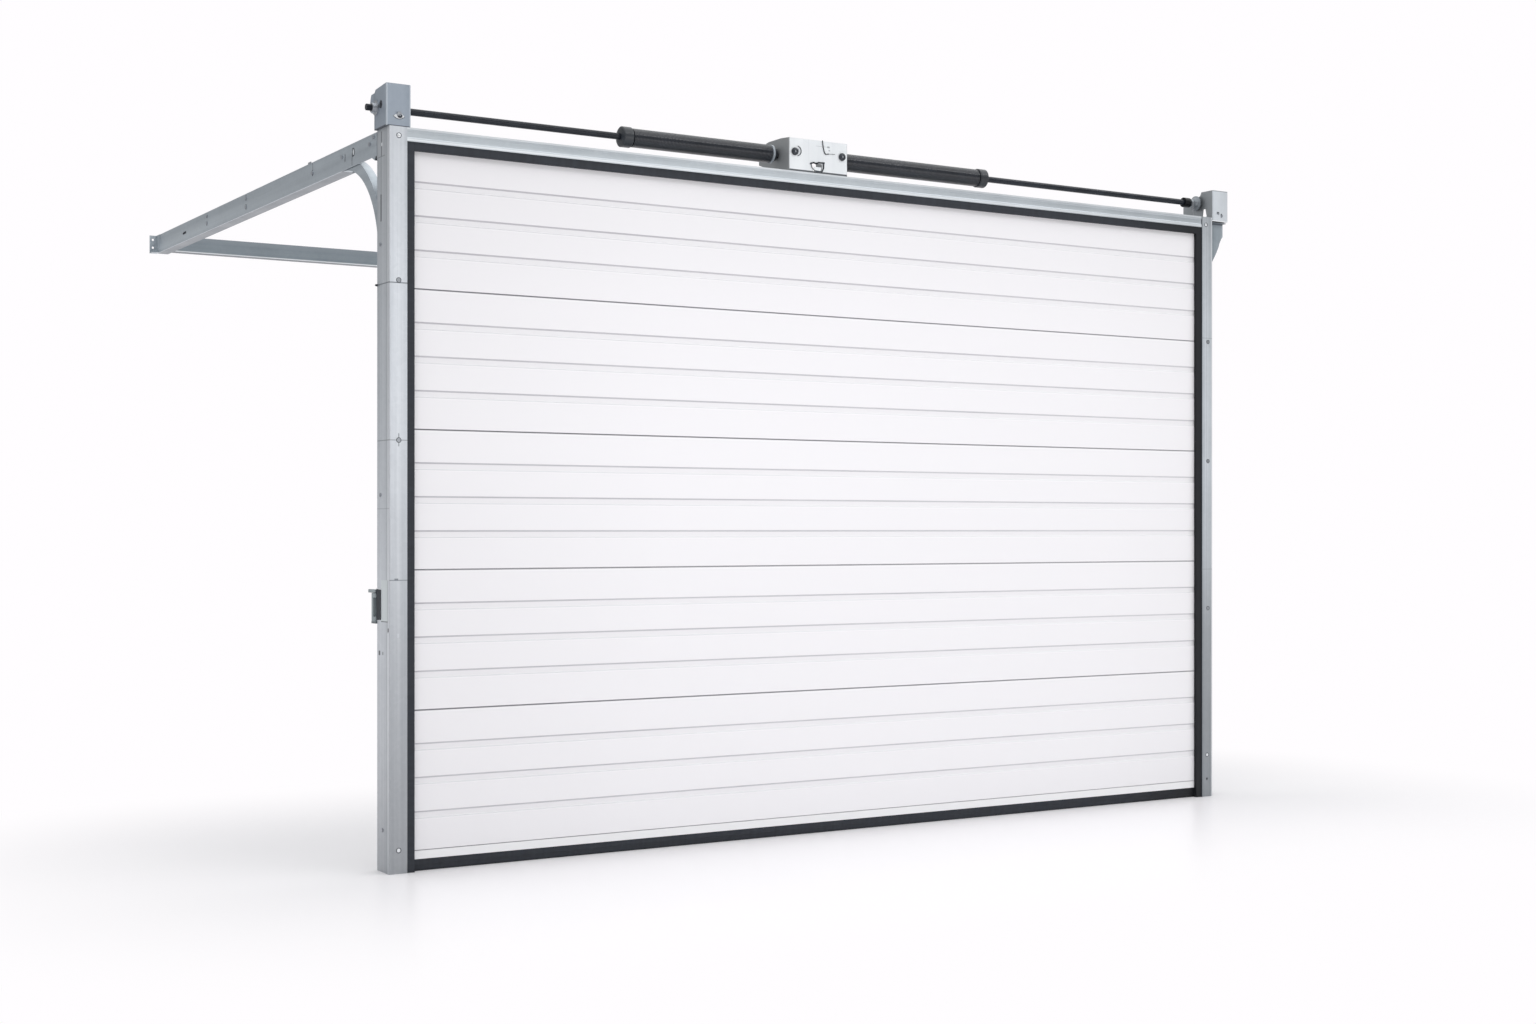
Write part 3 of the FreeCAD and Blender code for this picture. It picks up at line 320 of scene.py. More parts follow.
def rubber(name, base, lift=1.6, right=None):
    """Extruded rubber: run marks along its length, a dusty bloom on the highs."""
    t = Tree(name)
    run = t.noise(1.0, t.mapped((60, 60, 0.6)), 3, 0.6)
    run2 = t.noise(1.0, t.mapped((0.6, 60, 60)), 3, 0.6)
    dust = t.noise(9.0, None, 5, 0.6)
    f = t.math("MULTIPLY", t.math("ADD", run, run2), 0.5)
    col = t.mix(t.span(f, 0.35, 0.65), base, tuple(c * lift for c in base))
    col = t.mix(t.span(dust, 0.5, 0.85, 0.0, 0.25), col, tuple(c * 2.2 + 0.01 for c in base))
    # painted shade: the rubber darker towards the right end, from x 1.4 m to 1.85 m
    if right is not None:
        col = t.mix(t.span(t.axis("X"), 1.4, 1.85), col, tuple(c * right for c in base))
    grain = t.noise(700.0, None, 2, 0.5)
    n = t.bump(f, 0.12, 0.0006)
    n = t.bump(grain, 0.10, 0.0002, n)
    return t.done(col, t.span(dust, 0.3, 0.7, 0.48, 0.66), 0.0, n, specular=0.35)


def black_steel(name, base, rough=0.34, metallic=0.25, specular=0.5, rubbed=0.25, marks=()):
    """Black powder-coated or oiled steel with a soft sheen and rubbed places."""
    t = Tree(name)
    cloud = t.noise(14.0, None, 4, 0.55)
    fine = t.noise(300.0, None, 2, 0.5)
    col = t.mix(t.span(cloud, 0.35, 0.7), base, tuple(c * 1.7 + 0.004 for c in base))
    rub = t.span(t.noise(1.0, t.mapped((8, 90, 90)), 3, 0.6), 0.62, 0.72)
    col = t.mix(t.math("MULTIPLY", rub, rubbed), col, tuple(c * 3.0 + 0.02 for c in base))
    col = t.marks(col, marks)
    n = t.bump(fine, 0.10, 0.0002)
    return t.done(col, t.span(cloud, 0.3, 0.7, rough - 0.04, rough + 0.06), metallic, n, specular=specular)


def plain_metal(name, base, rough=0.32, metallic=0.9, brushed=(4, 90, 90), marks=()):
    t = Tree(name)
    br = t.noise(1.0, t.mapped(brushed), 3, 0.6)
    cloud = t.noise(30.0, None, 4, 0.6)
    col = t.mix(t.span(cloud, 0.3, 0.7), tuple(c * 0.82 for c in base), base)
    col = t.marks(col, marks)
    n = t.bump(br, 0.12, 0.0003)
    return t.done(col, t.span(br, 0.3, 0.7, rough - 0.06, rough + 0.1), metallic, n)


def nylon(name, base):
    t = Tree(name)
    cloud = t.noise(60.0, None, 3, 0.5)
    fine = t.noise(900.0, None, 2, 0.5)
    col = t.mix(t.span(cloud, 0.3, 0.7), tuple(c * 0.9 for c in base), base)
    n = t.bump(fine, 0.15, 0.0002)
    return t.done(col, t.span(cloud, 0.3, 0.7, 0.38, 0.52), 0.0, n, specular=0.5)


def foam(name, base):
    t = Tree(name)
    cell = t.voronoi(900.0, feature="F1", out="Distance")
    cloud = t.noise(40.0, None, 3, 0.5)
    col = t.mix(t.span(cloud, 0.3, 0.7), tuple(c * 0.85 for c in base), base)
    n = t.bump(cell, 0.5, 0.0006)
    return t.done(col, 0.85, 0.0, n, specular=0.2)


def wire_rope(name, base):
    t = Tree(name)
    ax = t.mapped((900, 900, 260))
    w = t.noise(1.0, ax, 2, 0.4)
    col = t.mix(t.span(w, 0.35, 0.65), tuple(c * 0.35 for c in base), base)
    n = t.bump(w, 0.5, 0.0005)
    return t.done(col, 0.42, 0.85, n)


DARK = (0.03, 0.035, 0.045)
GREY = (0.16, 0.18, 0.20)
FRONT = {"Y": (None, -38.5)}
BACK = {"Y": (-38.5, None)}
# Brightness ramps along the height of the posts (mm, factor): painted shade, darker towards the floor and the top; the
# left post has one ramp for its front face and another for its side faces.
LP_FRONT_SHADE = ((0, 0.52), (270, 0.55), (700, 0.66), (970, 0.74), (1300, 0.84), (1680, 0.92), (2205, 0.96), (2520, 0.86), (2640, 0.82))
LP_SIDE_SHADE = ((0, 0.60), (270, 0.66), (700, 0.84), (970, 0.94), (1300, 0.90), (1680, 0.86), (2205, 0.77), (2520, 0.67), (2640, 0.64))
RP_FRONT_SHADE = ((0, 0.50), (400, 0.52), (750, 0.60), (1050, 0.82), (1500, 1.0), (2200, 1.0), (2500, 0.85), (2640, 0.70))


def seam(z, x=None, y=None, strength=0.55, wide=1.6):
    return ({"Z": (z - wide, z + wide), **({"X": x} if x else {}), **({"Y": y} if y else {})}, GREY, strength, 0.7)


LEFT_POST_MARKS = [
    ({"X": (None, -1976.5), "Y": (33.5, 42.5), "Z": (2311, 2407)}, DARK, 0.95, 0.8),
    ({"X": (None, -1976.5), "Y": (30.0, 37.0), "Z": (2541, 2630)}, DARK, 0.70, 0.8),
    ({"X": (None, -1976.5), "Y": (26.0, 36.0), "Z": (2578, 2590)}, (0.85, 0.87, 0.89), 0.8, 1.5),
    ({"X": (None, -1976.5), "Y": (33.0, 39.0), "Z": (2407, 2541)}, GREY, 0.40, 0.8),
    ({"X": (None, -1976.5), "Y": (-20.0, -10.0), "Z": (0, 2640)}, (0.22, 0.25, 0.27), 0.45, 3.0),
    ({"X": (None, -1976.5), "Y": (-38.0, -20.0), "Z": (0, 2640)}, (0.75, 0.78, 0.80), 0.30, 5.0),
    ({"X": (None, -1976.5), "Y": (-25.0, 38.5), "Z": (890, 1036.8)}, (0.70, 0.76, 0.75), 0.55, 0.8),
    # painted shadow line under the lower edge of the cover plate
    ({"X": (None, -1976.5), "Y": (-25.0, 38.5), "Z": (888.0, 891.5)}, DARK, 0.7, 0.6),
    ({"X": (None, -1976.5), "Y": (-31.0, -25.0), "Z": (850, 1036.8)}, GREY, 0.60, 0.8),
    ({"X": (None, -1976.5), "Y": (-36.0, -25.0), "Z": (854, 867)}, DARK, 0.85, 0.8),
    ({"X": (None, -1976.5), "Y": (46.0, 61.0), "Z": (769, 785)}, DARK, 0.85, 0.8),
    ({"X": (None, -1976.5), "Y": (15.0, 28.0), "Z": (771, 782)}, GREY, 0.6, 0.8),
    seam(1036.9, x=(-1977.0, -1910.0), y=(None, -38.5), strength=0.75),
    ({"X": (-1958, -1944), "Y": (None, -38.5), "Z": (1036, 1043)}, GREY, 0.8, 1.0),
    ({"Y": (None, -38.5), "X": (-1947, -1941), "Z": (834, 848)}, (0.80, 0.83, 0.87), 0.35, 2.0),
    seam(2541, x=(None, -1976.5), y=(0.0, 70.0), strength=0.6),
    seam(2088, strength=0.85, wide=2.0), seam(1532, strength=0.6),
    ({"Y": (None, -38.5), "X": (-1944, -1940), "Z": (1510, 1556)}, GREY, 0.7, 1.0), seam(1290, x=(None, -1976.5), strength=0.3),
]
RIGHT_POST_MARKS = [
    ({"Y": (None, -38.5), "X": (1938.0, 1941.0)}, (0.32, 0.34, 0.37), 0.35, 1.2),
    ({"Y": (None, -38.5), "X": (1968.0, 1976.5)}, (0.92, 0.94, 0.96), 0.55, 1.5),
    ({"X": (1909.0, 1914.0)}, DARK, 0.90, 0.8),
    seam(2088, strength=0.3), seam(1036, strength=0.3),
]
RAIL_BANDS = [
    ({"Z": (2633.0, None)}, (0.88, 0.90, 0.92), 0.45, 1.2),
    ({"Z": (2610.0, 2622.0)}, (0.44, 0.48, 0.51), 0.30, 4.0),
    ({"Z": (2594.0, 2601.0)}, (0.92, 0.95, 0.97), 0.70, 2.5),
]
# Rear cross bar: painted shade over its upper recess, a painted highlight line along its lower edge, and painted shade
# below that line.
BAR_SHADE_AND_HIGHLIGHT = [
    ({"Z": (2612.0, None)}, (0.26, 0.29, 0.32), 0.55, 5.0),
    ({"Z": (2561.0, 2567.0)}, (0.95, 0.97, 0.99), 0.80, 1.5),
    ({"Z": (None, 2562.0)}, (0.10, 0.10, 0.12), 0.65, 0.8),
]
# Left end bracket: painted shade along its bottom edge, painted highlights along the bent edges of its front face and
# at the front of its outer side, and a dark line near the back of that side.
LEFT_BRACKET_MARKS = [
    ({"Z": (None, 2643.0)}, DARK, 0.80, 0.8),
    ({"Y": (None, -38.0), "X": (None, -1984.0)}, (0.62, 0.67, 0.72), 0.75, 1.2),
    ({"Y": (None, -38.0), "X": (-1901.0, None)}, (0.62, 0.67, 0.72), 0.65, 1.2),
    ({"X": (None, -1986.0), "Y": (None, -33.0)}, (0.55, 0.60, 0.65), 0.60, 1.5),
    ({"X": (None, -1986.0), "Y": (72.0, 75.0)}, (0.12, 0.13, 0.15), 0.50, 1.0),
]
RIGHT_BRACKET_MARKS = [
    ({"Y": (None, -38.0), "Z": (2762.0, None)}, (0.20, 0.22, 0.24), 0.55, 0.8),
    ({"Y": (None, -38.0), "X": (1978.0, 1983.0)}, (0.45, 0.48, 0.52), 0.55, 1.0),
    ({"Y": (None, -38.0), "X": (2069.0, None)}, (0.45, 0.48, 0.52), 0.55, 0.8),
    ({"Y": (None, -38.0), "Z": (None, 2629.5)}, (0.94, 0.96, 0.98), 0.85, 0.6),
    ({"Y": (None, -38.0), "X": (2004.0, 2019.0), "Z": (2661.0, 2669.0)}, GREY, 0.85, 1.0),
    ({"Y": (None, -38.0), "X": (2029.0, 2037.0), "Z": (2645.0, 2662.0)}, GREY, 0.85, 1.0),
]
# Centre bracket front: painted shade along its bottom edge, darker lines along its top, right and left edges, and
# small grey marks.
CENTRE_MARKS = [
    ({"Y": (None, -39.0), "Z": (2639.0, 2647.0)}, DARK, 0.9, 0.5),
    ({"Y": (None, -39.0), "Z": (2773.5, None)}, (0.30, 0.32, 0.35), 0.5, 0.6),
    ({"Y": (None, -39.0), "X": (-35.5, None)}, (0.30, 0.32, 0.35), 0.5, 0.6),
    ({"Y": (None, -39.0), "X": (None, -308.0)}, (0.22, 0.24, 0.26), 0.55, 0.6),
    ({"Y": (None, -39.0), "X": (-184.0, -120.0), "Z": (2747.6, 2749.4)}, GREY, 0.35, 0.6),
    ({"Y": (None, -39.0), "X": (-130.0, -118.0), "Z": (2745.0, 2752.0)}, GREY, 0.6, 1.0),
    ({"Y": (None, -39.0), "X": (-124.0, -116.0), "Z": (2733.0, 2739.0)}, GREY, 0.5, 1.0),
]
GUSSET_MARKS = [({"Z": (2612.0, None)}, (0.12, 0.13, 0.15), 0.75, 1.0)]

M = {
    # both post materials carry the painted-shade ramps given above
    "left_post": galvanised("left_post_zinc", (0.80, 0.83, 0.87), (0.40, 0.44, 0.48), "Z", 0.80, 0.40, 1.15,
                            LEFT_POST_MARKS, (("Z", LP_FRONT_SHADE, FRONT), ("Z", LP_SIDE_SHADE, BACK))),
    "post": galvanised("post_zinc", (0.76, 0.80, 0.84), (0.38, 0.42, 0.46), "Z", 0.80, 0.40, 1.0,
                       RIGHT_POST_MARKS, (("Z", RP_FRONT_SHADE, None),)),
    "rail": galvanised("rail_zinc", (0.70, 0.74, 0.775), (0.42, 0.46, 0.49), "X", 0.80, 0.40, 0.9, RAIL_BANDS),
    # the rear bar takes darker zinc colours than the other galvanised parts: painted shade
    "bar": galvanised("rear_bar_zinc_shaded", (0.33, 0.375, 0.405), (0.18, 0.21, 0.24), "X", 0.80, 0.40, 0.9, BAR_SHADE_AND_HIGHLIGHT),
    "track": galvanised("track_zinc", (0.60, 0.65, 0.69), (0.30, 0.34, 0.38), "Y", 0.85, 0.36, 0.9),
    # track webs: painted shade over the lower flange between the posts, below z 2561, with a thin lighter line across
    # it
    "web": galvanised("track_web_zinc", (0.60, 0.65, 0.69), (0.32, 0.36, 0.40), "Y", 0.85, 0.36, 0.9,
                      [({"X": (-1974.0, 1974.0), "Z": (None, 2561.0)}, (0.10, 0.115, 0.135), 0.95, 1.0),
                       ({"Z": (2551.0, 2553.4)}, (0.62, 0.66, 0.70), 0.35, 0.8)]),
    "track_v": galvanised("vertical_track_zinc", (0.62, 0.66, 0.70), (0.34, 0.38, 0.41), "Z", 0.85, 0.36, 0.9),
    "latch": galvanised("latch_zinc", (0.44, 0.49, 0.51), (0.22, 0.25, 0.27), "Z", 0.80, 0.40, 0.8,
                        [({"Z": (None, 886.0)}, DARK, 0.6, 2.0), ({"Z": (988.0, 991.0)}, DARK, 0.7, 1.0)]),
    "bracket": galvanised("bracket_zinc", (0.385, 0.43, 0.49), (0.23, 0.27, 0.32), "Z", 0.80, 0.42, 0.5,
                          LEFT_BRACKET_MARKS),
    # the ramp across Y keeps the front face at full colour and darkens the faces behind it to under a half: painted
    # shade on the side faces
    "bracket_r": galvanised("right_bracket_zinc", (0.84, 0.88, 0.92), (0.62, 0.66, 0.70), "Z", 0.75, 0.40, 0.5,
                            RIGHT_BRACKET_MARKS, (("Y", ((-40, 1.0), (-38.6, 1.0), (-37, 0.47), (150, 0.42)), None),)),
    "gusset": galvanised("gusset_zinc", (0.62, 0.68, 0.73), (0.22, 0.26, 0.29), "Z", 0.80, 0.40, 1.3, GUSSET_MARKS),
    # the ramp across Y keeps the front face at full colour and darkens the faces behind it to about a third: painted
    # shade on the side faces
    "centre": galvanised("centre_bracket_zinc", (0.90, 0.925, 0.94), (0.80, 0.835, 0.86), "Z", 0.45, 0.40, 0.5,
                         CENTRE_MARKS, (("Y", ((-42, 1.0), (-40, 1.0), (-38, 0.36), (188, 0.30)), None),)),
    # right=0.45 is painted shade towards the right end
    "seal": rubber("seal_rubber", (0.017, 0.020, 0.026), 1.6, right=0.45),
    "black": black_steel("black_steel", (0.014, 0.017, 0.022), 0.36, 0.0, 0.5),
    "shaft": black_steel("shaft_black", (0.008, 0.010, 0.015), 0.24, 0.0, 0.25, 0.04),
    "cone": black_steel("fixed_cone_black", (0.014, 0.017, 0.022), 0.36, 0.0, 0.5, 0.2,
                        [({"X": (-347.0, -333.0)}, (0.42, 0.46, 0.50), 0.85, 2.0)]),
    "spring": black_steel("spring_black", (0.007, 0.009, 0.014), 0.17, 0.0, 0.60, 0.03),
    "white": white_paint("white_paint", (0.915, 0.905, 0.925), ribs=True),
    "white_in": white_paint("white_inside", (0.84, 0.84, 0.85)),
    "white2": white_paint("white_profile", (0.90, 0.90, 0.91), 0.03),
    "alloy": plain_metal("drum_alloy", (0.55, 0.57, 0.60), 0.36, 0.9, (90, 6, 6)),
    "drum_r": plain_metal("right_drum_alloy", (0.20, 0.22, 0.24), 0.36, 0.6, (90, 6, 6),
                          [({"X": (None, 1922.0)}, (0.006, 0.007, 0.009), 1.0, 2.0),
                           ({"X": (1930.0, 1936.0)}, (0.5, 0.53, 0.56), 0.5, 1.5)]),
    "bearing": plain_metal("bearing_steel", (0.42, 0.44, 0.47), 0.28),
    "bolt": plain_metal("fastener_zinc", (0.40, 0.42, 0.45), 0.34, 0.9, (60, 60, 60)),
    "dark_bolt": plain_metal("fastener_black", (0.035, 0.040, 0.050), 0.30, 0.4, (60, 60, 60)),
    "bright": plain_metal("bright_zinc", (0.88, 0.90, 0.92), 0.30, 0.75, (60, 60, 60)),
    "nylon": nylon("nylon_white", (0.72, 0.72, 0.69)),
    "foam": foam("foam_core", (0.80, 0.74, 0.50)),
    "rope": wire_rope("wire_rope", (0.52, 0.53, 0.56)),
}

USE = {
    "left_post": ["left_post"],
    "post": ["right_post"],
    "rail": ["header_rail"],
    "bar": ["rear_cross_bar"],
    "web": ["left_horizontal_track", "right_horizontal_track"],
    "track": ["track_end_brackets", "top_roller_guides", "curved_tracks"],
    "latch": ["latch_bracket", "latch_bar"],
    "track_v": ["vertical_tracks", "track_clips", "hinge_lower_leaves", "hinge_upper_leaves", "top_hinge_leaves",
                "roller_carriers", "bottom_brackets", "top_roller_brackets"],
    "bracket": ["left_end_bracket"],
    "bracket_r": ["right_end_bracket"],
    "gusset": ["right_bracket_gusset"],
    "centre": ["centre_bracket"],
    "seal": ["side_seals", "top_seal", "bottom_seal", "track_buffers"],
    "shaft": ["torsion_shaft"],
    "cone": ["stationary_cones"],
    "black": ["winding_cones", "left_torsion_spring",
              "right_torsion_spring"],
    "alloy": ["left_cable_drum"],
    "drum_r": ["right_cable_drum"],
    "white": ["section_%d_outer_skin" % i for i in range(1, 6)],
    "white_in": ["lower_section_inner_skins", "section_5_inner_skin",
                 "lower_section_end_caps", "section_5_end_caps"],
    "white2": ["bottom_profile"],
    "bearing": ["shaft_bearings", "hinge_pins", "roller_stems"],
    "bolt": ["frame_screws", "bracket_bolts", "track_bolts"],
    "nylon": ["bottom_rollers", "rollers_1", "rollers_2", "rollers_3", "rollers_4", "top_rollers"],
    "foam": ["lower_section_cores", "section_5_core"],
    "rope": ["lift_cables"],
}
for key, names in USE.items():
    for n in names:
        o = NODES[n]
        o.data.materials.clear()
        o.data.materials.append(M[key])


# ------------------------------------------------------------------ mesh tools
def finish_mesh(bm, name, material, body, smooth=None):
    bmesh.ops.recalc_face_normals(bm, faces=bm.faces)
    me = bpy.data.meshes.new(name)
    bm.to_mesh(me)
    bm.free()
    me.materials.append(material)
    o = bpy.data.objects.new(name, me)
    bpy.context.scene.collection.objects.link(o)
    if smooth is not None:
        for p in me.polygons:
            p.use_smooth = True
        me.set_sharp_from_angle(angle=math.radians(smooth))
    if body:
        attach(o, body)
    return o


def spring(name, x0, x1, mean, wire, centre, turn_at_low, node):
    """Close-wound coil spring between x0 and x1, with its ends tucked against
    the cones."""
    pitch = wire * 1.012
    turns = (x1 - x0 - wire) / pitch
    seg, ring = 32, 12

    def flat(v):
        return math.copysign(abs(v) ** 0.42, v)

    n = int(turns * seg)
    bm = bmesh.new()
    rows = []
    for i in range(n + 1):
        a = 2 * math.pi * i / seg
        x = x0 + wire / 2 + pitch * i / seg
        out = Vector((0, math.cos(a), math.sin(a)))
        c = Vector((x, centre[0], centre[1])) + out * mean
        row = []
        for j in range(ring):
            b = 2 * math.pi * j / ring
            row.append(bm.verts.new(c + out * (wire / 2 * flat(math.cos(b))) + Vector((wire / 2 * flat(math.sin(b)), 0, 0))))
        rows.append(row)
    for r0, r1 in zip(rows, rows[1:]):
        for j in range(ring):
            k = (j + 1) % ring
            bm.faces.new((r0[j], r0[k], r1[k], r1[j]))
    bm.faces.new(rows[0])
    bm.faces.new(rows[-1][::-1])
    o = finish_mesh(bm, name, M["spring"], None, smooth=50)
    if turn_at_low:
        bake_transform(o)
    else:
        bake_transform(o)
    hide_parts(node)
    return o


shaft_lo, shaft_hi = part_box("torsion_shaft")
SY, SZ = (shaft_lo.y + shaft_hi.y) / 2, (shaft_lo.z + shaft_hi.z) / 2
for side in ("left", "right"):
    lo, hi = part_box(side + "_torsion_spring")
    ro = (hi.z - lo.z) / 2
    spring(side + "_spring_coil", lo.x, hi.x, ro - 3 * MM, 6 * MM, (SY, SZ),
           side == "left", side + "_torsion_spring")

# ------------------------------------------------------------------ small pieces
def prism(bm, outline, axis, at, depth, bevel=0.3):
    """A flat piece: outline in mm in the plane across the axis, standing `depth`
    mm along -axis from `at`, with a softened outer edge."""
    def point(a, b, h):
        return Vector((at - h, a, b) if axis == "X" else (a, at - h, b)) * MM
    ca = sum(p[0] for p in outline) / len(outline)
    cb = sum(p[1] for p in outline) / len(outline)
    far = max(math.hypot(p[0] - ca, p[1] - cb) for p in outline)
    k = 1 - bevel / far
    rows = [[bm.verts.new(point(a, b, -0.2)) for a, b in outline],
            [bm.verts.new(point(a, b, depth - bevel)) for a, b in outline],
            [bm.verts.new(point(ca + (a - ca) * k, cb + (b - cb) * k, depth)) for a, b in outline]]
    n = len(outline)
    for r0, r1 in zip(rows, rows[1:]):
        for i in range(n):
            j = (i + 1) % n
            bm.faces.new((r0[i], r0[j], r1[j], r1[i]))
    bm.faces.new(rows[0][::-1])
    bm.faces.new(rows[-1])


def oval(ca, cb, a, b, n=28):
    return [(ca + a * math.cos(2 * math.pi * i / n), cb + b * math.sin(2 * math.pi * i / n)) for i in range(n)]


def lens(ca, cb, a, b, n=14):
    up = [(ca - a + 2 * a * i / n, cb + b * (1 - ((2 * i / n) - 1) ** 2)) for i in range(n + 1)]
    down = [(ca + a - 2 * a * i / n, cb - b * (1 - ((2 * i / n) - 1) ** 2)) for i in range(1, n)]
    return up + down


def dome(bm, centre, axis, r, depth, at, rings=4, n=28, dish=0.0):
    """A domed head standing `depth` mm along -axis, with a small dished middle."""
    prof = [(r, -0.2), (r, depth * 0.35)]
    prof += [(r * math.cos(math.pi / 2 * i / rings), depth * (0.35 + 0.65 * math.sin(math.pi / 2 * i / rings)))
             for i in range(1, rings)]
    prof += [(r * 0.30, depth - 0.1), (r * 0.24, depth - dish)]
    rows = []
    for rr, h in prof:
        row = []
        for i in range(n):
            u = 2 * math.pi * i / n
            a, b = centre[0] + rr * math.cos(u), centre[1] + rr * math.sin(u)
            row.append(bm.verts.new(Vector((at - h, a, b) if axis == "X" else (a, at - h, b)) * MM))
        rows.append(row)
    for r0, r1 in zip(rows, rows[1:]):
        for i in range(n):
            j = (i + 1) % n
            bm.faces.new((r0[i], r0[j], r1[j], r1[i]))
    bm.faces.new(rows[0][::-1])
    bm.faces.new(rows[-1])


def ring(bm, centre, axis, r0, r1, at, depth, a0=0.0, a1=360.0, n=36):
    """A flat ring or an arc of one, standing `depth` mm along -axis."""
    whole = abs(a1 - a0 - 360) < 1e-6
    sec = ((r0, -0.2), (r1, -0.2), (r1, depth * 0.6), (r1 - 0.25 * (r1 - r0), depth), (r0 + 0.25 * (r1 - r0), depth), (r0, depth * 0.6))
    rows = []
    for i in range(n if whole else n + 1):
        u = math.radians(a0 + (a1 - a0) * i / n)
        row = []
        for rr, h in sec:
            a, b = centre[0] + rr * math.cos(u), centre[1] + rr * math.sin(u)
            row.append(bm.verts.new(Vector((at - h, a, b) if axis == "X" else (a, at - h, b)) * MM))
        rows.append(row)
    m = len(sec)
    pairs = list(zip(rows, rows[1:] + rows[:1])) if whole else list(zip(rows, rows[1:]))
    for q0, q1 in pairs:
        for i in range(m):
            j = (i + 1) % m
            bm.faces.new((q0[i], q0[j], q1[j], q1[i]))
    if not whole:
        bm.faces.new(rows[0])
        bm.faces.new(rows[-1][::-1])


def ribbon(bm, pts, axis, at, width, depth):
    """A narrow raised line through points in the plane across the axis."""
    for (a0, b0), (a1, b1) in zip(pts, pts[1:]):
        d = Vector((a1 - a0, b1 - b0)).normalized()
        s_ = Vector((-d.y, d.x)) * width / 2
        e_ = d * width * 0.35
        prism(bm, [(a0 - s_.x - e_.x, b0 - s_.y - e_.y), (a1 - s_.x + e_.x, b1 - s_.y + e_.y),
                   (a1 + s_.x + e_.x, b1 + s_.y + e_.y), (a0 + s_.x - e_.x, b0 + s_.y - e_.y)],
              axis, at, depth, 0.2)


def piece(name, key, make, body="root", smooth=40):
    bm = bmesh.new()
    make(bm)
    o = finish_mesh(bm, name, M[key], body, smooth)
    return o


post_lo, post_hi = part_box("left_post")
FRONT_Y = post_lo.y / MM
SIDE_X = post_lo.x / MM
WEB_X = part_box("left_horizontal_track")[0].x / MM
LB_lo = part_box("left_end_bracket")[0]
CB_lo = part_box("centre_bracket")[0]
RB_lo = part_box("right_end_bracket")[0]


def post_rings(bm):
    for x, z in ((-1941, 2608), (-1942, 2097), (-1942, 1532), (-1942, 83), (1937, 2604), (1949, 2071),
                 (1949, 1528), (1949, 858), (1944, 190)):
        ring(bm, (x, z), "Y", 7.6, 9.6, FRONT_Y, 0.7)


def post_rivets(bm):
    for x, z in ((-1941, 2608), (-1942, 83), (1937, 2604), (1944, 190)):
        dome(bm, (x, z), "Y", 6.4, 1.8, FRONT_Y, dish=0.9)


piece("post_ring_marks", "dark_bolt", post_rings)
piece("post_rivets", "bright", post_rivets)
# the emboss takes bright zinc over the bracket's darker zinc: painted highlight on its raised face; the dark crescent
# along its lower half is painted shadow under it
piece("left_bracket_emboss", "bright", lambda bm: prism(bm, lens(-1941, 2675.3, 20.5, 9.0), "Y", LB_lo.y / MM, 1.1, 0.5))
piece("left_bracket_emboss_shadow", "dark_bolt",
      lambda bm: ribbon(bm, lens(-1941, 2675.3, 21.2, 9.7)[14:] + lens(-1941, 2675.3, 21.2, 9.7)[:1], "Y", LB_lo.y / MM, 1.6, 0.8))
piece("left_bracket_bolt", "dark_bolt", lambda bm: dome(bm, (-1938.4, 2677.5), "Y", 8.6, 6.5, LB_lo.y / MM, dish=1.5))
piece("left_bracket_bolt_collar", "bright", lambda bm: ring(bm, (-1938.4, 2677.5), "Y", 8.9, 11.5, LB_lo.y / MM, 1.8))
# a black disc standing in for the dark hole in the bracket side: painted shade
piece("left_bracket_hole_shade", "seal", lambda bm: dome(bm, (15.0, 2722.0), "X", 14.4, 1.6, -1986.2, dish=2.6))


def centre_caps(bm):
    for x, z in ((-284.4, 2716.6), (-59.5, 2715.8)):
        dome(bm, (x, z), "Y", 15.5, 8.0, CB_lo.y / MM, dish=3.0)


# dark crescents beside and under the caps: painted shadows
def centre_cap_shadows(bm):
    ring(bm, (-274.0, 2720.0), "Y", 17.5, 20.5, CB_lo.y / MM, 1.2, -80, 80, 18)
    ring(bm, (-60.5, 2704.0), "Y", 1.0, 5.0, CB_lo.y / MM, 1.2, 200, 340, 10)


piece("centre_bracket_caps", "dark_bolt", centre_caps)
piece("centre_bracket_cap_shadows", "dark_bolt", centre_cap_shadows)
# a dark line along the crease: painted shade in the fold
piece("centre_bracket_crease_shade", "dark_bolt",
      lambda bm: (ribbon(bm, [(-154, 2772), (-150, 2744), (-145, 2728), (-139, 2719), (-124, 2721.5)], "Y", CB_lo.y / MM, 3.4, 0.7),
                  ribbon(bm, [(-124, 2721.5), (-108, 2722.5), (-94, 2723)], "Y", CB_lo.y / MM, 1.4, 0.5)))
piece("centre_bracket_lug", "dark_bolt",
      lambda bm: (ribbon(bm, [(-210, 2676), (-196, 2680), (-185, 2677), (-172, 2682), (-146, 2683)], "Y", CB_lo.y / MM, 6.0, 1.6),
                  ribbon(bm, [(-148, 2683), (-149, 2662), (-156, 2648)], "Y", CB_lo.y / MM, 4.6, 1.4),
                  ribbon(bm, [(-208, 2674), (-204, 2660), (-192, 2649)], "Y", CB_lo.y / MM, 2.6, 1.0),
                  ribbon(bm, [(-192, 2649), (-156, 2647)], "Y", CB_lo.y / MM, 3.2, 1.0)))


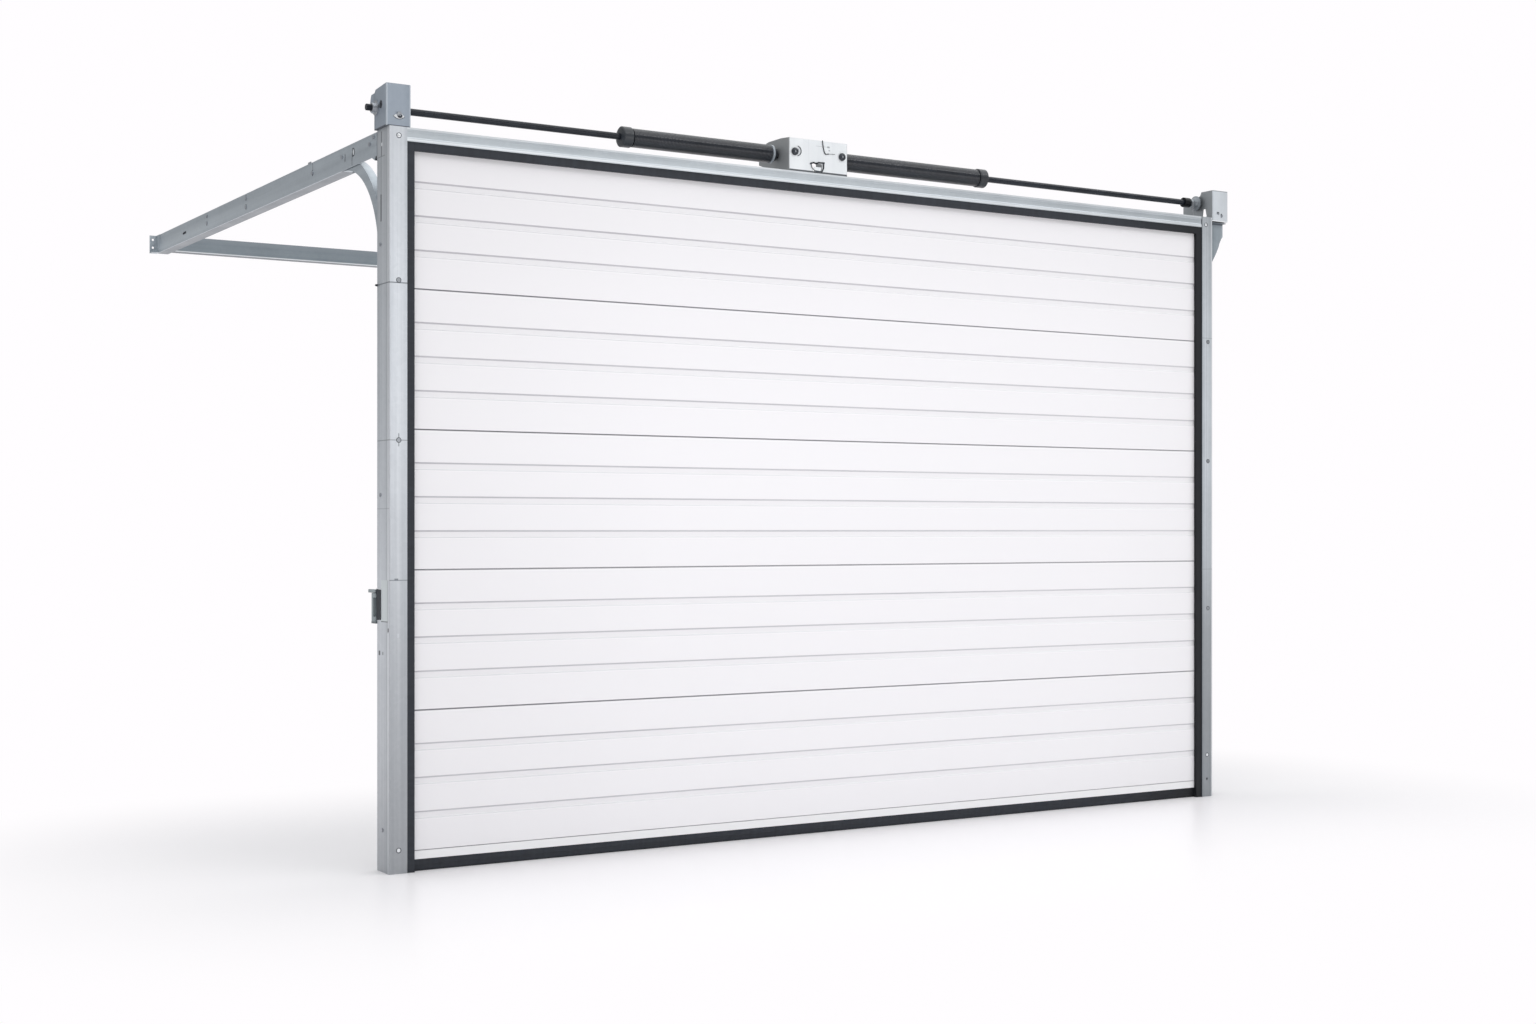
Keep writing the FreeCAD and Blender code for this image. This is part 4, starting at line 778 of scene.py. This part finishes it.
def web_marks(bm):
    for y, z, a, b in ((2195.7, 2618, 3.2, 8.5), (2195.7, 2586, 5.2, 10.5), (1620, 2618, 4.0, 11.5), (1620, 2581, 6.0, 11.5),
                       (772, 2595, 6.0, 11.0), (441, 2604, 4.8, 8.0)):
        prism(bm, oval(y, z, a, b), "X", WEB_X, 0.9, 0.5)
    ribbon(bm, [(409, 2582), (407, 2608)], "X", WEB_X, 3.0, 0.6)
    ribbon(bm, [(334, 2556), (334, 2600)], "X", WEB_X, 1.6, 0.5)
    ribbon(bm, [(770, 2606), (770, 2632)], "X", WEB_X, 1.4, 0.4)
    ribbon(bm, [(326, 2588), (326, 2618), (314, 2616), (308, 2604), (314, 2590), (326, 2588)], "X", WEB_X, 2.2, 0.8)


piece("track_web_studs", "seal", web_marks)
piece("track_web_lip", "bright", lambda bm: prism(bm, oval(317, 2602, 6.0, 10.0), "X", WEB_X, 0.7, 0.3))
piece("track_slot_pad", "seal", lambda bm: prism(bm, oval(2560, 2590, 33, 9), "X", WEB_X + 4.2, 2.0, 0.5))
# a black sheet over the latch slot: painted shade standing in for the dark inside of the slot
piece("latch_slot_shade", "seal",
      lambda bm: (prism(bm, [(39.5, 895), (79.5, 893), (79.5, 1003), (39.5, 1002)], "X", SIDE_X, 2.2, 0.6),))
piece("post_side_pin", "dark_bolt", lambda bm: dome(bm, (75.0, 2088.0), "X", 4.2, 9.0, SIDE_X, dish=1.0))
piece("latch_lever_rim", "bright",
      lambda bm: ribbon(bm, [(42, 1004.5), (79, 1006.0)], "X", SIDE_X, 2.4, 2.6))
RB_F = RB_lo.y / MM
piece("right_bracket_marks", "dark_bolt",
      lambda bm: (prism(bm, oval(2013.6, 2664.5, 6.0, 3.2), "Y", RB_F, 0.8, 0.4),
                  prism(bm, oval(2032.4, 2654.5, 3.4, 7.0), "Y", RB_F, 0.8, 0.4)))

# the cables get a mesh of their own; on the real door they shorten as the drums wind them in
cable = NODES["lift_cables"]
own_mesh(cable)

# ------------------------------------------------------------------ stage
floor_bm = bmesh.new()
bmesh.ops.create_grid(floor_bm, x_segments=24, y_segments=24, size=30)
floor_me = bpy.data.meshes.new("studio_floor")
floor_bm.to_mesh(floor_me)
floor_bm.free()
floor = bpy.data.objects.new("studio_floor", floor_me)
bpy.context.scene.collection.objects.link(floor)
ft = Tree("studio_floor_white")
fn = ft.noise(2.0, None, 3, 0.5)
floor_me.materials.append(ft.done(ft.ramp(fn, [(0.0, (0.94, 0.925, 0.94)), (1.0, (0.96, 0.945, 0.96))]),
                                  0.30, 0.0, None, specular=0.12))
# the floor sweeps out to plain studio white away from the object
fx = ft.math("MAXIMUM", ft.math("SUBTRACT", ft.math("ABSOLUTE", ft.axis("X")), 1.9), 0.0)
fy = ft.math("MAXIMUM", ft.math("SUBTRACT", ft.math("ABSOLUTE", ft.math("SUBTRACT", ft.axis("Y"), 0.25)), 0.35), 0.0)
fd = ft.math("SQRT", ft.math("ADD", ft.math("MULTIPLY", fx, fx), ft.math("MULTIPLY", fy, fy)))
fade = ft.span(fd, 0.15, 1.9, smooth=True)
f_em = ft.t.nodes.new("ShaderNodeEmission")
f_em.inputs[0].default_value = (1.0, 0.983, 1.0, 1.0)
f_em.inputs[1].default_value = 1.0
f_mix = ft.t.nodes.new("ShaderNodeMixShader")
ft.link(fade, f_mix.inputs[0])
ft.link(ft.b.outputs[0], f_mix.inputs[1])
ft.link(f_em.outputs[0], f_mix.inputs[2])
ft.link(f_mix.outputs[0], ft.out.inputs[0])

world = bpy.data.worlds.new("studio")
bpy.context.scene.world = world
world.use_nodes = True
wt = world.node_tree
wt.nodes.clear()
w_out = wt.nodes.new("ShaderNodeOutputWorld")
w_mix = wt.nodes.new("ShaderNodeMixShader")
w_seen = wt.nodes.new("ShaderNodeBackground")
w_light = wt.nodes.new("ShaderNodeBackground")
w_seen.inputs[0].default_value = (1.0, 0.983, 1.0, 1.0)
w_seen.inputs[1].default_value = 1.0
w_light.inputs[0].default_value = (0.97, 0.985, 1.0, 1.0)
w_light.inputs[1].default_value = 0.50
w_path = wt.nodes.new("ShaderNodeLightPath")
wt.links.new(w_path.outputs["Is Camera Ray"], w_mix.inputs[0])
wt.links.new(w_light.outputs[0], w_mix.inputs[1])
wt.links.new(w_seen.outputs[0], w_mix.inputs[2])
wt.links.new(w_mix.outputs[0], w_out.inputs[0])
bpy.context.scene.view_settings.view_transform = "Standard"


def area(name, at, to, size, power, color=(1, 1, 1)):
    d = bpy.data.lights.new(name, "AREA")
    d.shape = "RECTANGLE"
    d.size, d.size_y = size
    d.energy = power
    d.color = color
    o = bpy.data.objects.new(name, d)
    bpy.context.scene.collection.objects.link(o)
    o.location = at
    o.rotation_euler = (Vector(to) - Vector(at)).to_track_quat("-Z", "Y").to_euler()
    return o


area("overhead_light", (0.0, -1.0, 7.0), (0, -1.0, 0), (14, 12), 580)
area("front_light", (1.5, -5.0, 1.8), (0, 0, 1.4), (3, 2), 26)
area("high_strip", (3.2, -5.0, 6.9), (0.6, 0.0, 2.7), (9, 0.45), 62)

# ------------------------------------------------------------------ camera
cam = bpy.data.cameras.new("camera")
cam.lens = 46.674
cam.sensor_width = 36.0
cam.shift_y = 17.52 / 1536
cam.clip_end = 200
co = bpy.data.objects.new("camera", cam)
bpy.context.scene.collection.objects.link(co)
co.location = (-4.5328, -6.7036, 1.2162)
co.rotation_euler = (math.radians(90), 0, math.radians(-31.7506))
bpy.context.scene.camera = co
